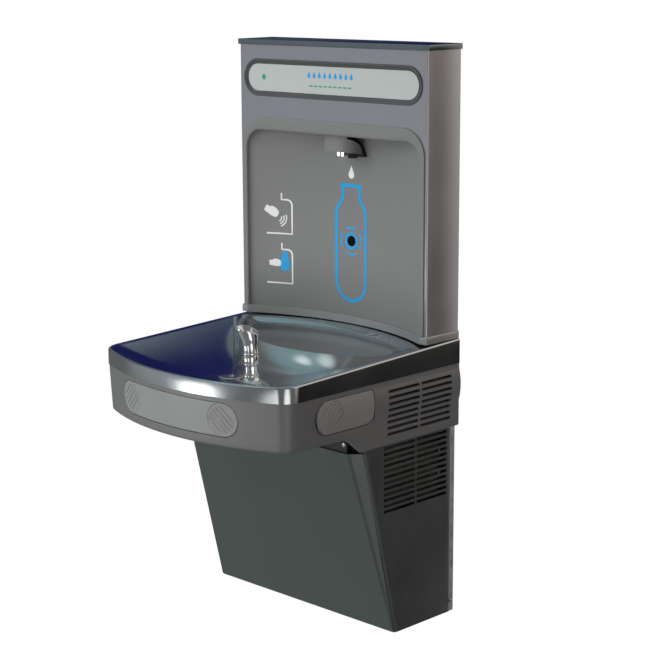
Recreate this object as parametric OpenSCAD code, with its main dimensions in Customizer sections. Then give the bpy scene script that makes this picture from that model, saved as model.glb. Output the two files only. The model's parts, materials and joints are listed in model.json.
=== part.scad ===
// Wall-hung drinking fountain with a bottle-filling tower above its basin.
// The wall is the plane y = 0, the front faces -Y, and z = 0 is the cabinet's base.

/* [Overall] */
// Width over the basin's steel band
unit_w = 467; // [440:1:565]
// Depth from the wall to the middle of the curved front
unit_d = 478; // [450:1:580]
// Height from the cabinet's base to the top of the tower's cap
unit_h = 1020; // [960:1:1230]

/* [Basin] */
// Height of the basin's rim at the wall
rim_z = 507; // [490:1:520]
// How far the rim falls from the wall to the front
rim_drop = 18; // [6:1:24]
// Height of the steel band at the wall
band_h = 44; // [36:1:53]
// Radius of the curved front, seen from above
front_r = 510; // [430:1:615]
// Radius of the two front corners, seen from above
corner_r = 38; // [30:1:46]
// Sheet thickness of the basin
basin_t = 1.5; // [1.2:0.1:1.8]
// Depth of the drain below the rim at the wall
bowl_depth = 62; // [50:1:66]
// Distance of the drain behind the front of the rim
drain_back = 178; // [150:1:210]
// Distance of the drain to the left of the middle
drain_left = 35; // [20:1:50]
// Radius of the drain's hole
drain_r = 20; // [17:0.5:22]
// Distance of the bubbler to the right of the middle
bubbler_right = 150; // [120:1:160]
// Distance of the bubbler behind the front of the rim
bubbler_back = 56; // [50:1:66]
// Height of the bubbler above the basin
bubbler_h = 92; // [76:1:110]

/* [Tower] */
// How far the tower's sides stand inside the basin's band
tower_inset = 3.5; // [3:0.1:5]
// Depth of the tower
tower_d = 86; // [78:1:100]
// Thickness of the tower's sheet steel
tower_t = 1.2; // [1:0.1:1.5]
// Thickness of the cap
cap_h = 10; // [8:0.5:12]
// How far the cap overhangs the tower
cap_over = 3; // [2.5:0.5:4]
// Height of the collar between the basin and the tower
collar_h = 14; // [11:0.5:17]
// Radius of the alcove's concave wall, seen from above
alcove_r = 474; // [415:1:520]
// Gap between the wall and the middle of the alcove's concave face
alcove_back = 30; // [23:1:32]
// Height of the alcove's opening above the collar
alcove_h = 334; // [300:1:345]
// Width of the liner's frame at each side of the alcove
frame_side = 10; // [8:1:12]
// Height of the liner's frame above the alcove
frame_top = 24; // [20:1:28]
// Height of the sign's middle below the top of the unit
sign_down = 69; // [60:1:75]
// Height of the sign
sign_h = 62; // [52:1:66]
// Height of the bottle sensor above the collar
sensor_up = 138; // [115:1:165]

/* [Housing and push bars] */
// Wall thickness of the housing
housing_t = 3; // [2.5:0.1:3.5]
// Height of the front skirt's lower edge
skirt_z = 378; // [372:1:384]
// Height of the side walls' lower edge
side_z = 348; // [344:1:354]
// Height of the push bars
bar_h = 58; // [50:1:60]
// Height of the push bars' middle
bar_z = 425; // [421:1:427]
// Length of the front push bar
front_bar_l = 290; // [250:1:300]
// Length of each side push bar
side_bar_l = 136; // [115:1:150]
// Distance from the wall to the back end of each side push bar
side_bar_back = 224; // [210:1:240]
// Travel of the push bars
bar_travel = 3.5; // [2.5:0.1:4]
// How far the side bars and the belt behind them bulge
belt_bulge = 4; // [3:0.5:5]
// Radius of the guide pins behind the push bars
pin_r = 4; // [3.4:0.1:4.8]

/* [Cabinet] */
// How far the cabinet's sides stand inside the basin's band
cabinet_inset = 8.5; // [7:0.5:10]
// Depth of the cabinet at its base
cabinet_d = 160; // [150:1:190]
// How far the front panel leans out for each unit of height
lean = 0.285; // [0.24:0.005:0.32]
// Height of the front panel's upper edge
panel_top = 342; // [336:1:346]
// Thickness of the cabinet's sheet steel
sheet = 1.2; // [1:0.1:1.5]
// Height of one louvre slot
slot_h = 5.4; // [4.5:0.1:6]

/* [Services] */
// Radius of the water supply tube
supply_r = 4.76; // [4:0.01:5.6]
// Radius of the drain outlet tube
outlet_r = 15.9; // [13:0.1:19]
// Radius of the compressor's shell
compressor_r = 58; // [50:1:62]
// Radius of the fan's blades
fan_r = 56; // [48:1:60]
// Radius of the chilled water tank
tank_r = 50; // [42:1:54]
// Radius of the wall bolts' holes
bolt_r = 4.5; // [3.8:0.1:5.4]

/* [Hidden] */
$fn = 48;

// Small fits
gap = 0.3;          // between pieces that seat beside one another
groove = 1;         // around each push bar
slide_gap = 0.5;    // between a guide pin and its hole

// Basin and tower
half_w = unit_w / 2;
front_cy = -unit_d + front_r;
band_z = rim_z - band_h;
roll = 10;                              // width of the rolled rim
shelf_drop = 13;                        // shelf below the rim
ridge_y = 278 - unit_d;                 // ridge between the bowl and the shelf, at the middle
ridge_curve = 0.00175;                  // how fast the ridge runs back towards the sides
drain_x = -drain_left;
drain_y = drain_back - unit_d;
drain_z = rim_z - bowl_depth;
bubbler_x = bubbler_right;
bubbler_y = bubbler_back - unit_d;
tower_hw = half_w - tower_inset;
tower_z = rim_z + collar_h;
tower_top = unit_h - cap_h;
liner_hw = tower_hw - 6;
alcove_hw = liner_hw - frame_side;
alcove_cy = -alcove_back - alcove_r;
alcove_top = tower_z + alcove_h;
liner_t = 3;
sign_z = unit_h - sign_down;
sign_w = 2 * tower_hw - 30;
sensor_z = tower_z + sensor_up;
sensor_r = 9.5;
nozzle_w = 60;
nozzle_drop = 34;
nozzle_front = alcove_back + 45;
aerator_y = -alcove_back - 29;

// Housing, bars and the frame that guides them
housing_hw = half_w - 1;
bar_low = bar_z - bar_h / 2;
bar_top = bar_z + bar_h / 2;
bar_plate = 4;
apron_y = -251;                         // strip behind the skirt that holds the panel's screws
apron_t = 2.5;
skirt_back = apron_y - 37;              // the lower edge slopes down from here to the apron
side_bar_mid = -side_bar_back - side_bar_l / 2;
bar_frame_hw = half_w - 24;
bar_frame_y = 42 - unit_d;
bar_frame_t = 2;
// Its front stays flat up to the line where the bowed front comes near
bar_frame_flat = min(bar_frame_hw - 40, sqrt(pow(front_r - 12, 2) - pow(front_cy - bar_frame_y, 2)));
front_pin_x = front_bar_l / 2 - 45;
side_pin = side_bar_l / 2 - 34;
front_bar_in = front_cy - sqrt(pow(front_r - 1 - bar_plate, 2) - pow(front_pin_x, 2));
switch_l = 12;

// Cabinet
cab_hw = half_w - cabinet_inset;
cab_top = side_z + 6;
function front_y(z) = -cabinet_d - lean * z;
louvre_back = 23.5;
louvre_front = 188;
louvre_rib = 5;
pan_t = 2;                              // bottom pan's floor
bolt_x = 190;                           // wall bolts, from the middle
cabinet_bolts = [120, 430];
tower_bolts = [tower_z + 60, tower_z + 440];
foam = 16;                              // insulation around the tank
tank_x = -cab_hw + tank_r + foam + 42;
tank_y = -tank_r - foam - 18;
tank_z = 196;
tank_h = 130;
comp_x = -cab_hw + compressor_r + 52;
comp_y = -compressor_r - 26;
comp_z = 16;                            // underside of the compressor's plate
comp_h = 140;
stub_x = max(tank_x + tank_r + foam, comp_x + compressor_r) + 8;
fan_y = -108;
fan_z = 280;
shaft_r = 4;
motor_r = 22;
cond_x = cab_hw - 38;                   // the condenser's inner face
cond_w = 24;
cond_back = -30;
cond_front = -188;
cond_low = 214;
cond_top = 345;
line_ends = [cond_back - 30, cond_front + 38];  // where the condenser's two ends point down
shroud_x = cond_x - 8;
motor_x = shroud_x - 52;
drain_back_y = -165;
trap_y = -95;
outlet_z = 300;
outlet_l = 58.8;                        // the spigot that the waste pipe slides over
outlet_end = 0.6;                       // from its end to the wall
trap_r = outlet_r - 1;
trap_z = 262;
supply_x = 60;
supply_z = 60;
valve_y = -40;
valve_z = 118;
bubbler_valve_x = 95;
filler_valve_x = 132;
riser = [60, -12];                      // where the filler's tube rises behind the alcove
line_r = 3;
pad_z = rim_at(bubbler_y) - 3;          // top of the boss that carries the bubbler
boss_h = 27;
nut_h = 10;

// Points and outlines
function ring(c, r, a0, a1, n) = [for (i = [0:n]) let (a = a0 + (a1 - a0) * i / n) c + r * [cos(a), sin(a)]];
function inner(p) = [for (i = [1:len(p) - 2]) p[i]];
// Outline of the unit seen from above, drawn in by inset and ending at the back line
function plan(inset = 0, back = 0) = let (
    hw = half_w - inset, rc = corner_r - inset, rf = front_r - inset, cx = hw - rc,
    cy = front_cy - sqrt(pow(rf - rc, 2) - cx * cx), turn = atan2(cy - front_cy, cx))
    concat([[hw, back]], ring([cx, cy], rc, 0, turn, 8), inner(ring([0, front_cy], rf, turn, -180 - turn,
        20)),
        ring([-cx, cy], rc, -180 - turn, -180, 8), [[-hw, back]]);
// Opening with a flat foot and two rounded upper corners
function arch(hw, z0, z1, r) = concat([[hw, z0]], ring([hw - r, z1 - r], r, 0, 90, 10),
    ring([r - hw, z1 - r], r, 90, 180, 10), [[-hw, z0]]);
function pill(w, h) = concat(ring([(w - h) / 2, 0], h / 2, -90, 90, 16), ring([(h - w) / 2, 0], h / 2, 90,
    270, 16));

// Extrusions of an outline drawn in (y, z), and of one drawn in (x, z)
module along_x(x0, x1) translate([x0, 0, 0]) rotate([90, 0, 90]) linear_extrude(x1 - x0) children();
module along_y(y0, y1) translate([0, y1, 0]) rotate([90, 0, 0]) linear_extrude(y1 - y0) children();
module rod_x(r, x0, x1, y, z) translate([x0, y, z]) rotate([0, 90, 0]) cylinder(r = r, h = x1 - x0);
module rod_y(r, y0, y1, x, z) translate([x, y1, z]) rotate([90, 0, 0]) cylinder(r = r, h = y1 - y0);
module rod_z(r, z0, z1, x, y) translate([x, y, z0]) cylinder(r = r, h = z1 - z0, $fn = r > 100 ? 360 : 48);
module block(x0, x1, y0, y1, z0, z1) translate([x0, y0, z0]) cube([x1 - x0, y1 - y0, z1 - z0]);
// A drain pipe bent at each of its points
module bent_pipe(points, r) {
    for (i = [0:len(points) - 2]) {
        a = points[i];
        d = points[i + 1] - a;
        l = norm(d);
        translate(a) rotate([0, acos(d[2] / l), atan2(d[1], d[0])]) cylinder(r = r, h = l);
        if (i > 0) translate(a) sphere(r = r + 0.1);
    }
}
// A thin tube swept along a route, with each corner softened into a bend
function unit(v) = v / norm(v);
function soften(p, b) = concat([p[0]], [for (i = [1:len(p) - 2], k = [0:3]) let (
    cut = min(b, norm(p[i] - p[i - 1]) * 0.45, norm(p[i + 1] - p[i]) * 0.45),
    a = p[i] + unit(p[i - 1] - p[i]) * cut, c = p[i] + unit(p[i + 1] - p[i]) * cut, t = k / 3)
    (1 - t) * (1 - t) * a + 2 * t * (1 - t) * p[i] + t * t * c], [p[len(p) - 1]]);
function start_ring(p, r, sides) = let (d = unit(p[1] - p[0]), side = abs(d[2]) > 0.9 ? [1, 0, 0] : [0, 0, 1],
    u = unit(cross(d, side)), v = cross(d, u))
    [for (k = [0:sides - 1]) p[0] + r * (cos(k * 360 / sides) * u + sin(k * 360 / sides) * v)];
function rings(p, now, i = 0) = i == len(p) - 1 ? [now] : let (d = unit(p[i + 1] - p[i]),
    n = i + 2 < len(p) ? unit(d + unit(p[i + 2] - p[i + 1])) : d,
    next = [for (q = now) q + d * ((p[i + 1] - q) * n) / (d * n)]) concat([now], rings(p, next, i + 1));
module tube(route, r, bend = 12, sides = 10) {
    p = soften(route, bend);
    all = rings(p, start_ring(p, r, sides));
    polyhedron(points = [for (ring = all, q = ring) q], faces = concat([[for (k = [0:sides - 1])
        sides - 1 - k]],
        [[for (k = [0:sides - 1]) (len(all) - 1) * sides + k]],
        [for (i = [0:len(all) - 2], k = [0:sides - 1], half = [0, 1]) let (a = i * sides + k,
            b = i * sides + (k + 1) % sides,
            c = a + sides, d = b + sides) half == 0 ? [a, b, d] : [a, d, c]]));
}
module coil_spring(r, wire, l, turns) {
    steps = 10;
    for (t = [0:turns - 1]) translate([0, 0, wire + t * (l - 2 * wire) / (turns - 1)])
        rotate_extrude() translate([r, 0]) circle(r = wire, $fn = 16);
    for (s = [0:turns - 2]) translate([0, 0, wire + (s + 0.5) * (l - 2 * wire) / (turns - 1)])
        for (side = [0, 180]) rotate([0, 0, side + s * 90]) translate([r, 0, 0])
            cylinder(r = wire, h = (l - 2 * wire) / (turns - 1), center = true);
}

// Tower ------------------------------------------------------------------------------------------
module tower_shell() color([0.66, 0.66, 0.69]) difference() {
    block(-tower_hw, tower_hw, -tower_d, 0, tower_z, unit_h - tower_t - gap);
    block(-tower_hw + tower_t, tower_hw - tower_t, -tower_d + tower_t, 1, tower_z - 1, unit_h);
    along_y(-tower_d - 1, -tower_d + 5) polygon(arch(liner_hw - 3, tower_z - 1, alcove_top + frame_top - 3,
        47));
    translate([0, 0, sign_z]) along_y(-tower_d - 1, -tower_d + 5) polygon(pill(sign_w, sign_h));
}

module tower_cap() color([0.72, 0.72, 0.75]) difference() {
    block(-tower_hw - cap_over, tower_hw + cap_over, -tower_d - cap_over, 0, tower_top, unit_h);
    block(-tower_hw - gap, tower_hw + gap, -tower_d - gap, 1, tower_top - 1, unit_h - tower_t);
}

module tower_back() color([0.6, 0.61, 0.62]) difference() {
    union() {
        block(-tower_hw + tower_t + gap, tower_hw - tower_t - gap, -1.5, 0, tower_z, tower_top);
        for (s = [-1, 1]) block(s * (tower_hw - tower_t - gap) - (s > 0 ? 1.5 : 0),
            s * (tower_hw - tower_t - gap) + (s < 0 ? 1.5 : 0), -18, 0, tower_z, tower_top);
    }
    for (x = [-bolt_x, bolt_x], z = tower_bolts) rod_y(bolt_r, -3, 1, x, z);
}

module alcove_space(grow = 0) intersection() {
    along_y(-tower_d - 10, 0) polygon(arch(alcove_hw + grow, tower_z - 1 - grow, alcove_top + grow,
        36 + grow));
    rod_z(alcove_r + grow, tower_z - 10, alcove_top + 20, 0, alcove_cy);
}
module alcove_liner() color([0.45, 0.45, 0.44]) difference() {
    union() {
        along_y(-tower_d - 2.5, -tower_d) polygon(arch(liner_hw, tower_z, alcove_top + frame_top, 50));
        intersection() {
            alcove_space(liner_t);
            block(-half_w, half_w, -tower_d - 1, 0, tower_z, unit_h);
        }
        for (s = [-1, 1]) block(s * 150 - 5, s * 150 + 5, -68, -1.5 - gap, alcove_top - 12, alcove_top + 8);
    }
    alcove_space();
    rod_y(sensor_r + gap, -60, 0, 0, sensor_z);
    rod_z(6, alcove_top - 10, alcove_top + 10, 0, aerator_y);
}

module base_collar() color([0.65, 0.64, 0.63]) difference() {
    block(-tower_hw - 2, tower_hw + 2, -tower_d - 3, 0, rim_z, tower_z);
    rod_z(alcove_r - 6, rim_z - 1, tower_z + 1, 0, alcove_cy);
    difference() {
        block(-tower_hw + 4, tower_hw - 4, -tower_d + 4, 1, rim_z - 1, tower_z + 1);
        rod_z(alcove_r + 5, rim_z - 2, tower_z + 2, 0, alcove_cy);
    }
}

module sign_frame() color([0.3, 0.3, 0.31]) difference() {
    translate([0, 0, sign_z]) union() {
        along_y(-tower_d - 2.5, -tower_d) polygon(pill(sign_w + 6, sign_h + 6));
        along_y(-tower_d, -tower_d + 18) polygon(pill(sign_w - 2 * gap, sign_h - 2 * gap));
    }
    translate([0, 0, sign_z]) along_y(-tower_d - 3, -tower_d + 3.5) polygon(pill(sign_w - 12, sign_h - 12));
    translate([0, 0, sign_z]) along_y(-tower_d + 3, -tower_d + 16) polygon(pill(sign_w - 18, sign_h - 18));
}
module sign_panel() color([0.8, 0.82, 0.8]) translate([0, 0, sign_z])
    along_y(-tower_d + 0.5, -tower_d + 3.5) polygon(pill(sign_w - 12 - 2 * gap, sign_h - 12 - 2 * gap));
module sign_light_board() color([0.1, 0.35, 0.2]) {
    block(-sign_w / 2 + 40, sign_w / 2 - 40, -tower_d + 14.4, -tower_d + 16, sign_z - 12, sign_z + 12);
    for (x = [-150:50:150]) block(x - 3, x + 3, -tower_d + 13, -tower_d + 14.4, sign_z - 3, sign_z + 3);
}

// The cover hangs from the alcove's ceiling and its nose is rounded, seen from the side
module nozzle_cover() color([0.42, 0.42, 0.41]) difference() {
    intersection() {
        along_x(-nozzle_w / 2, nozzle_w / 2) polygon(concat([[0, alcove_top - nozzle_drop], [0,
            alcove_top - gap]],
            ring([-nozzle_front + 44, alcove_top - nozzle_drop], nozzle_drop - gap, 90, 110, 3),
            ring([-nozzle_front + 12, alcove_top - nozzle_drop + 12], 12, 130, 250, 8)));
        rod_z(alcove_r - gap, alcove_top - 60, alcove_top, 0, alcove_cy);
        rod_z(nozzle_w - 2, alcove_top - 60, alcove_top, 0, nozzle_w - 2 - nozzle_front);
    }
    rod_z(10, alcove_top - 60, alcove_top + 1, 0, aerator_y);
    for (x = [-14, -4]) rod_z(2.2, alcove_top - 60, alcove_top - nozzle_drop + 8, x, -alcove_back - 12);
}
module nozzle_aerator() color([0.08, 0.08, 0.08]) difference() {
    union() {
        rod_z(10 - gap, alcove_top - nozzle_drop - 5, alcove_top - gap, 0, aerator_y);
        rod_z(12, alcove_top - nozzle_drop - 5, alcove_top - nozzle_drop - gap, 0, aerator_y);
    }
    rod_z(5.5, alcove_top - nozzle_drop - 6, alcove_top + 1, 0, aerator_y);
}
module nozzle_lights() color([0.95, 0.97, 1]) for (x = [-14, -4])
    rod_z(2, alcove_top - nozzle_drop - 1, alcove_top - nozzle_drop + 8, x, -alcove_back - 12);
module filler_tube() color([0.85, 0.87, 0.9]) tube([[0, aerator_y, alcove_top - gap], [0, aerator_y,
    alcove_top + 20],
    [0, aerator_y + 20, alcove_top + 32], [riser[0], riser[1], alcove_top + 20], [riser[0], riser[1], 430],
    [filler_valve_x, valve_y, 340], [filler_valve_x, valve_y, valve_z + 18]], 5);

module sensor_window() color([0.03, 0.03, 0.04]) rod_y(sensor_r, -alcove_back - 1.5, -alcove_back + 8, 0,
    sensor_z);
module sensor_board() color([0.1, 0.3, 0.18]) difference() {
    union() {
        block(-22, 22, -12, -10.4, sensor_z - 18, sensor_z + 18);
        for (x = [-17, 17], z = [-13, 13]) rod_y(3, -10.4, -1.5 - gap / 2, x, sensor_z + z);
        block(-6, 6, -alcove_back + 8 + gap, -12, sensor_z - 6, sensor_z + 6);
    }
    for (x = [-17, 17], z = [-13, 13]) rod_y(1.2, -13, -4, x, sensor_z + z);
}

// Basin ------------------------------------------------------------------------------------------
function rim_at(y) = rim_z + rim_drop * y / unit_d;
function ease(t) = let (u = min(1, max(0, t))) u * u * (3 - 2 * u);
function lip_y(x) = alcove_cy + sqrt(pow(alcove_r - 6, 2) - min(x * x, pow(alcove_hw - 6, 2)));
// Height of the shelf before the tower: it dips below the rim and rises at the sides and the collar
function shelf_z(p) = rim_at(p[1]) - shelf_drop * ease((half_w - roll - abs(p[0])) / 50) * ease((lip_y(p[0]) - 4 - p[1]) / 16);
function ridge_at(x) = ridge_y + ridge_curve * x * x;
// Where the line from the drain to an outline point crosses the ridge, as a share of the line
function ridge_share(c, p) = let (d = p - c, qa = ridge_curve * d[0] * d[0],
    qb = 2 * ridge_curve * c[0] * d[0] - d[1], qc = ridge_at(c[0]) - c[1])
    (abs(qa) < 0.0001) ? -qc / qb : let (disc = qb * qb - 4 * qa * qc)
        disc < 0 ? 9 : (-qb - sqrt(disc)) / (2 * qa);
function share_ok(s) = s > 0 ? s : 9;
function rim_share(c, p) = 1 - (roll + 2) / norm(p - c);
function split(a, b, n) = [for (i = [0:n - 1]) a + (b - a) * i / n];
basin_edge = let (o = plan(0, -gap)) concat(split(o[0], o[1], 8), [for (i = [1:len(o) - 3]) o[i]],
    split(o[len(o) - 2], o[len(o) - 1], 8), split(o[len(o) - 1], o[0], 14));
bowl_rows = 7;
shelf_rows = 6;
// One line of the basin's section, from the drain's edge to the rim and back beneath
function section(p) = let (
    c = [drain_x, drain_y], dir = (p - c) / norm(p - c), from = c + dir * drain_r,
    s1 = min(share_ok(ridge_share(c, p)), rim_share(c, p)), on_ridge = ease((rim_share(c, p) - s1) * 4),
    edge = c + (p - c) * s1, edge_z = shelf_z(edge) - 1.5 * (1 - on_ridge), power = 1.7 + 2.6 * on_ridge,
    bowl = [for (k = [0:bowl_rows]) let (t = k / bowl_rows, u = 1 - pow(1 - t, 1.4),
        q = from + (edge - from) * u)
        [q[0], q[1], drain_z + (edge_z - drain_z) * pow(u, power)]],
    s2 = rim_share(c, p),
    shelf = s2 - s1 < 0.02 ? [for (k = [1:shelf_rows])
        let (q = edge + (p - dir * roll * 0.5 - edge) * k / shelf_rows)
            [q[0], q[1], edge_z + (rim_at(q[1]) - 0.3 - edge_z) * sin(90 * k / shelf_rows)]]
        : [for (k = [1:shelf_rows]) let (t = k / shelf_rows, q = edge + (p - dir * roll * 0.5 - edge) * t)
            [q[0], q[1], min(rim_at(q[1]) - 0.3, shelf_z(q))]],
    top = concat(bowl, shelf, [[p[0] - dir[0] * 2, p[1] - dir[1] * 2, rim_at(p[1])], [p[0], p[1],
        rim_at(p[1]) - 2]]),
    n = len(top),
    foot = [[p[0], p[1], band_z], [p[0] - dir[0] * basin_t, p[1] - dir[1] * basin_t, band_z]],
    under = [for (k = [0:n - 2]) let (q = top[n - 2 - k]) [q[0], q[1], q[2] - basin_t - (k == 0 ? 1 : 0)]])
    concat(top, foot, under);
module basin_sheet() {
    rows = [for (p = basin_edge) section(p)];
    m = len(rows[0]);
    n = len(rows);
    polyhedron(points = [for (r = rows, q = r) q],
        faces = [for (i = [0:n - 1], j = [0:m - 1], half = [0, 1]) let (a = i * m + j,
            b = i * m + (j + 1) % m,
            c = ((i + 1) % n) * m + j, d = ((i + 1) % n) * m + (j + 1) % m) half == 0 ? [a, b, d] : [a, d,
                c]]);
}
module basin() color([0.7, 0.71, 0.72]) difference() {
    union() {
        basin_sheet();
        rod_z(27, pad_z - boss_h, pad_z, bubbler_x, bubbler_y);
    }
    rod_z(9 + gap, pad_z - boss_h - 20, pad_z + 1, bubbler_x, bubbler_y);
    rod_z(8, rim_z - 30, rim_z + 1, riser[0], riser[1]);
}

// A lathe-turned foot and stem, with the shank that goes down through the basin
module bubbler_body() color([0.85, 0.86, 0.88]) translate([bubbler_x, bubbler_y, pad_z]) difference() {
    union() {
        rotate_extrude() polygon([[0, -boss_h - nut_h - 6], [9, -boss_h - nut_h - 6], [9, 0], [21, 0], [21,
            3],
            [15, 7], [12.5, 12], [12, bubbler_h * 0.42],
            [14, bubbler_h * 0.46], [14, bubbler_h * 0.5], [0, bubbler_h * 0.5]]);
        translate([0, 0, bubbler_h * 0.48]) rotate([0, -32, 0]) cylinder(r = 5, h = bubbler_h * 0.28);
    }
    translate([0, 0, -boss_h - nut_h - 7]) cylinder(r = 3.2, h = boss_h + nut_h + 7 + bubbler_h * 0.45);
}
// A flared guard that leans over the spout, open at the top and towards the bowl
module bubbler_hood() color([0.88, 0.89, 0.91]) translate([bubbler_x, bubbler_y,
    pad_z + bubbler_h * 0.5 + gap]) difference() {
    rotate([0, -7, 0]) rotate_extrude() polygon([[12, 2], [14, 2], [14.5, bubbler_h * 0.2], [19,
        bubbler_h * 0.49],
        [17.5, bubbler_h * 0.49], [12.5, bubbler_h * 0.2]]);
    translate([-60, -10, bubbler_h * 0.06]) cube([60, 20, 60]);
    translate([-30, -30, -20]) cube([60, 60, 20]);
    translate([0, 0, bubbler_h * 0.3]) rotate([0, -24, 0]) translate([-40, -40, bubbler_h * 0.14])
        cube([80, 80, 60]);
}
module bubbler_nut() color([0.75, 0.68, 0.45]) translate([bubbler_x, bubbler_y, pad_z - boss_h - gap - nut_h])
    difference() {
        cylinder(r = 16, h = nut_h, $fn = 6);
        translate([0, 0, -1]) cylinder(r = 9 + 0.05, h = nut_h + 2);
    
}

// Drain: the strainer drops into the basin's hole and the waste runs back over the cabinet to the trap
strainer_z = drain_z + 1;
module drain_strainer() color([0.75, 0.76, 0.78]) translate([drain_x, drain_y, strainer_z]) difference() {
    union() {
        rotate_extrude() polygon([[0, 0], [0, 2], [drain_r + 1, 2], [drain_r + 3, 1], [drain_r + 3, 0]]);
        difference() {
            translate([0, 0, -18]) cylinder(r = drain_r - 1, h = 18);
            translate([0, 0, -19]) cylinder(r = drain_r - 3, h = 19);
        }
    }
    for (i = [0:7]) rotate([0, 0, i * 45]) translate([drain_r * 0.6, 0, -1]) cylinder(r = 2.4, h = 4);
    translate([0, 0, -1]) cylinder(r = 2.2, h = 4);
}
module strainer_screw() color([0.8, 0.81, 0.82]) translate([drain_x, drain_y, strainer_z]) difference() {
    rotate_extrude() polygon([[0, -14], [2, -14], [2, 2 + gap / 2], [4.5, 2 + gap / 2], [4, 4], [0, 4.4]]);
    translate([-5, -0.5, 3]) cube([10, 1, 3]);
}
module drain_tailpiece() color([0.8, 0.8, 0.82]) difference() {
    union() {
        rod_z(drain_r + 2.5, strainer_z - 34, strainer_z - 18, drain_x, drain_y);
        bent_pipe([[drain_x, drain_y, strainer_z - 30], [drain_x, drain_y, strainer_z - 44], [0,
            drain_back_y, strainer_z - 50],
            [0, drain_back_y, strainer_z - 90]], outlet_r - 2);
    }
    bent_pipe([[drain_x, drain_y, strainer_z - 17], [drain_x, drain_y, strainer_z - 44], [0, drain_back_y,
        strainer_z - 50],
        [0, drain_back_y, strainer_z - 91]], outlet_r - 3.5);
}
module drain_trap() color([0.82, 0.82, 0.84]) difference() {
    union() {
        bent_pipe([[0, drain_back_y, strainer_z - 90 - gap], [0, drain_back_y, trap_z], [0, trap_y, trap_z],
            [0, trap_y, outlet_z], [0, -2, outlet_z]], trap_r);
        rod_y(outlet_r, -outlet_end - outlet_l, -outlet_end, 0, outlet_z);
    }
    bent_pipe([[0, drain_back_y, strainer_z - 89], [0, drain_back_y, trap_z], [0, trap_y, trap_z],
        [0, trap_y, outlet_z], [0, 1, outlet_z]], trap_r - 1.5);
}
module trap_nuts() color([0.7, 0.7, 0.72]) for (z = [strainer_z - 104, trap_z + 16]) difference() {
    rod_z(trap_r + 6, z, z + 12, 0, drain_back_y);
    rod_z(trap_r + 0.2, z - 1, z + 13, 0, drain_back_y);
}

// Housing and push bars --------------------------------------------------------------------------
function side_bar(g = 0) = concat([[-side_bar_back + g, bar_top + g]],
    ring([-side_bar_back - 20, bar_low + 20], 20 + g, 0, -90, 6),
    ring([-side_bar_back - side_bar_l + bar_h / 2, bar_z], bar_h / 2 + g, -90, -270, 14));
// Section of the bulging belt, in (x, z)
function belt(x_in, grow = 0) = concat([[x_in, bar_low - grow]], [for (i = [0:10]) let (t = i / 5 - 1)
    [housing_hw + belt_bulge * (1 - t * t), bar_z + t * (bar_h / 2 + grow)]], [[x_in, bar_top + grow]]);
module both_sides() for (s = [0, 1]) mirror([s, 0, 0]) children();
module louvres(rows, top, pitch) for (i = [0:rows - 1], col = [0, 1])
    let (mid = (louvre_back + louvre_front) / 2, z = top - i * pitch) block(half_w - 24, half_w + 10,
        col == 0 ? -louvre_front : -mid + louvre_rib / 2, col == 0 ? -mid - louvre_rib / 2 : -louvre_back,
        z - slot_h / 2, z + slot_h / 2);

module housing() color([0.42, 0.42, 0.42]) difference() {
    union() {
        difference() {
            translate([0, 0, side_z]) linear_extrude(band_z - side_z) polygon(plan(1));
            translate([0, 0, side_z - 1]) linear_extrude(band_z - side_z + 2) polygon(plan(1 + housing_t, 1));
            along_x(-half_w, half_w) polygon([[-unit_d - 1, side_z - 1], [-unit_d - 1, skirt_z],
                [skirt_back, skirt_z], [apron_y, side_z - 1]]);
        }
        intersection() {
            translate([0, 0, skirt_z]) linear_extrude(housing_t) polygon(plan(2));
            block(-half_w, half_w, -unit_d, apron_y - 1, skirt_z - 1, skirt_z + 5);
        }
        block(-cab_hw + 26, cab_hw - 26, apron_y - apron_t, apron_y, panel_top - 8, skirt_z + 2);
        both_sides() along_y(-side_bar_back + groove, 0) polygon(belt(housing_hw - 1));
        both_sides() block(housing_hw - housing_t - 6, housing_hw - 1, -4, 0, cab_top + gap, bar_low);
    }
    translate([0, 0, bar_z]) along_y(-unit_d - 5, -unit_d + 38) polygon(pill(front_bar_l + 2 * groove,
        bar_h + 2 * groove));
    both_sides() along_x(half_w - 20, half_w + 20) polygon(side_bar(groove));
    both_sides() louvres(8, band_z - 19.4, 10.8);
    for (x = [-1, 1]) rod_y(2.5, apron_y - 9, apron_y + 11, x * (cab_hw - 32), panel_top + 14);
}

// A bent steel channel inside the housing: the push bars' pins slide in its holes
bar_frame_line = [[bar_frame_hw, -1.5 - gap], [bar_frame_hw, 84 - unit_d], [bar_frame_flat, bar_frame_y],
    [-bar_frame_flat, bar_frame_y], [-bar_frame_hw, 84 - unit_d], [-bar_frame_hw, -1.5 - gap]];
module bar_frame() color([0.6, 0.61, 0.62]) difference() {
    translate([0, 0, skirt_z + housing_t + gap]) linear_extrude(bar_z + 22 - skirt_z - housing_t)
        difference() {
        polygon(bar_frame_line);
        polygon([for (p = bar_frame_line) [p[0] - sign(p[0]) * bar_frame_t,
            p[1] > -10 ? 1 : p[1] + bar_frame_t]]);
    }
    for (s = [-1, 1]) rod_y(pin_r + slide_gap, bar_frame_y - 5, bar_frame_y + 8, s * front_pin_x, bar_z);
    for (s = [-1, 1]) rod_x(pin_r + slide_gap, -half_w, half_w, side_bar_mid + s * side_pin, bar_z);
}

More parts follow.
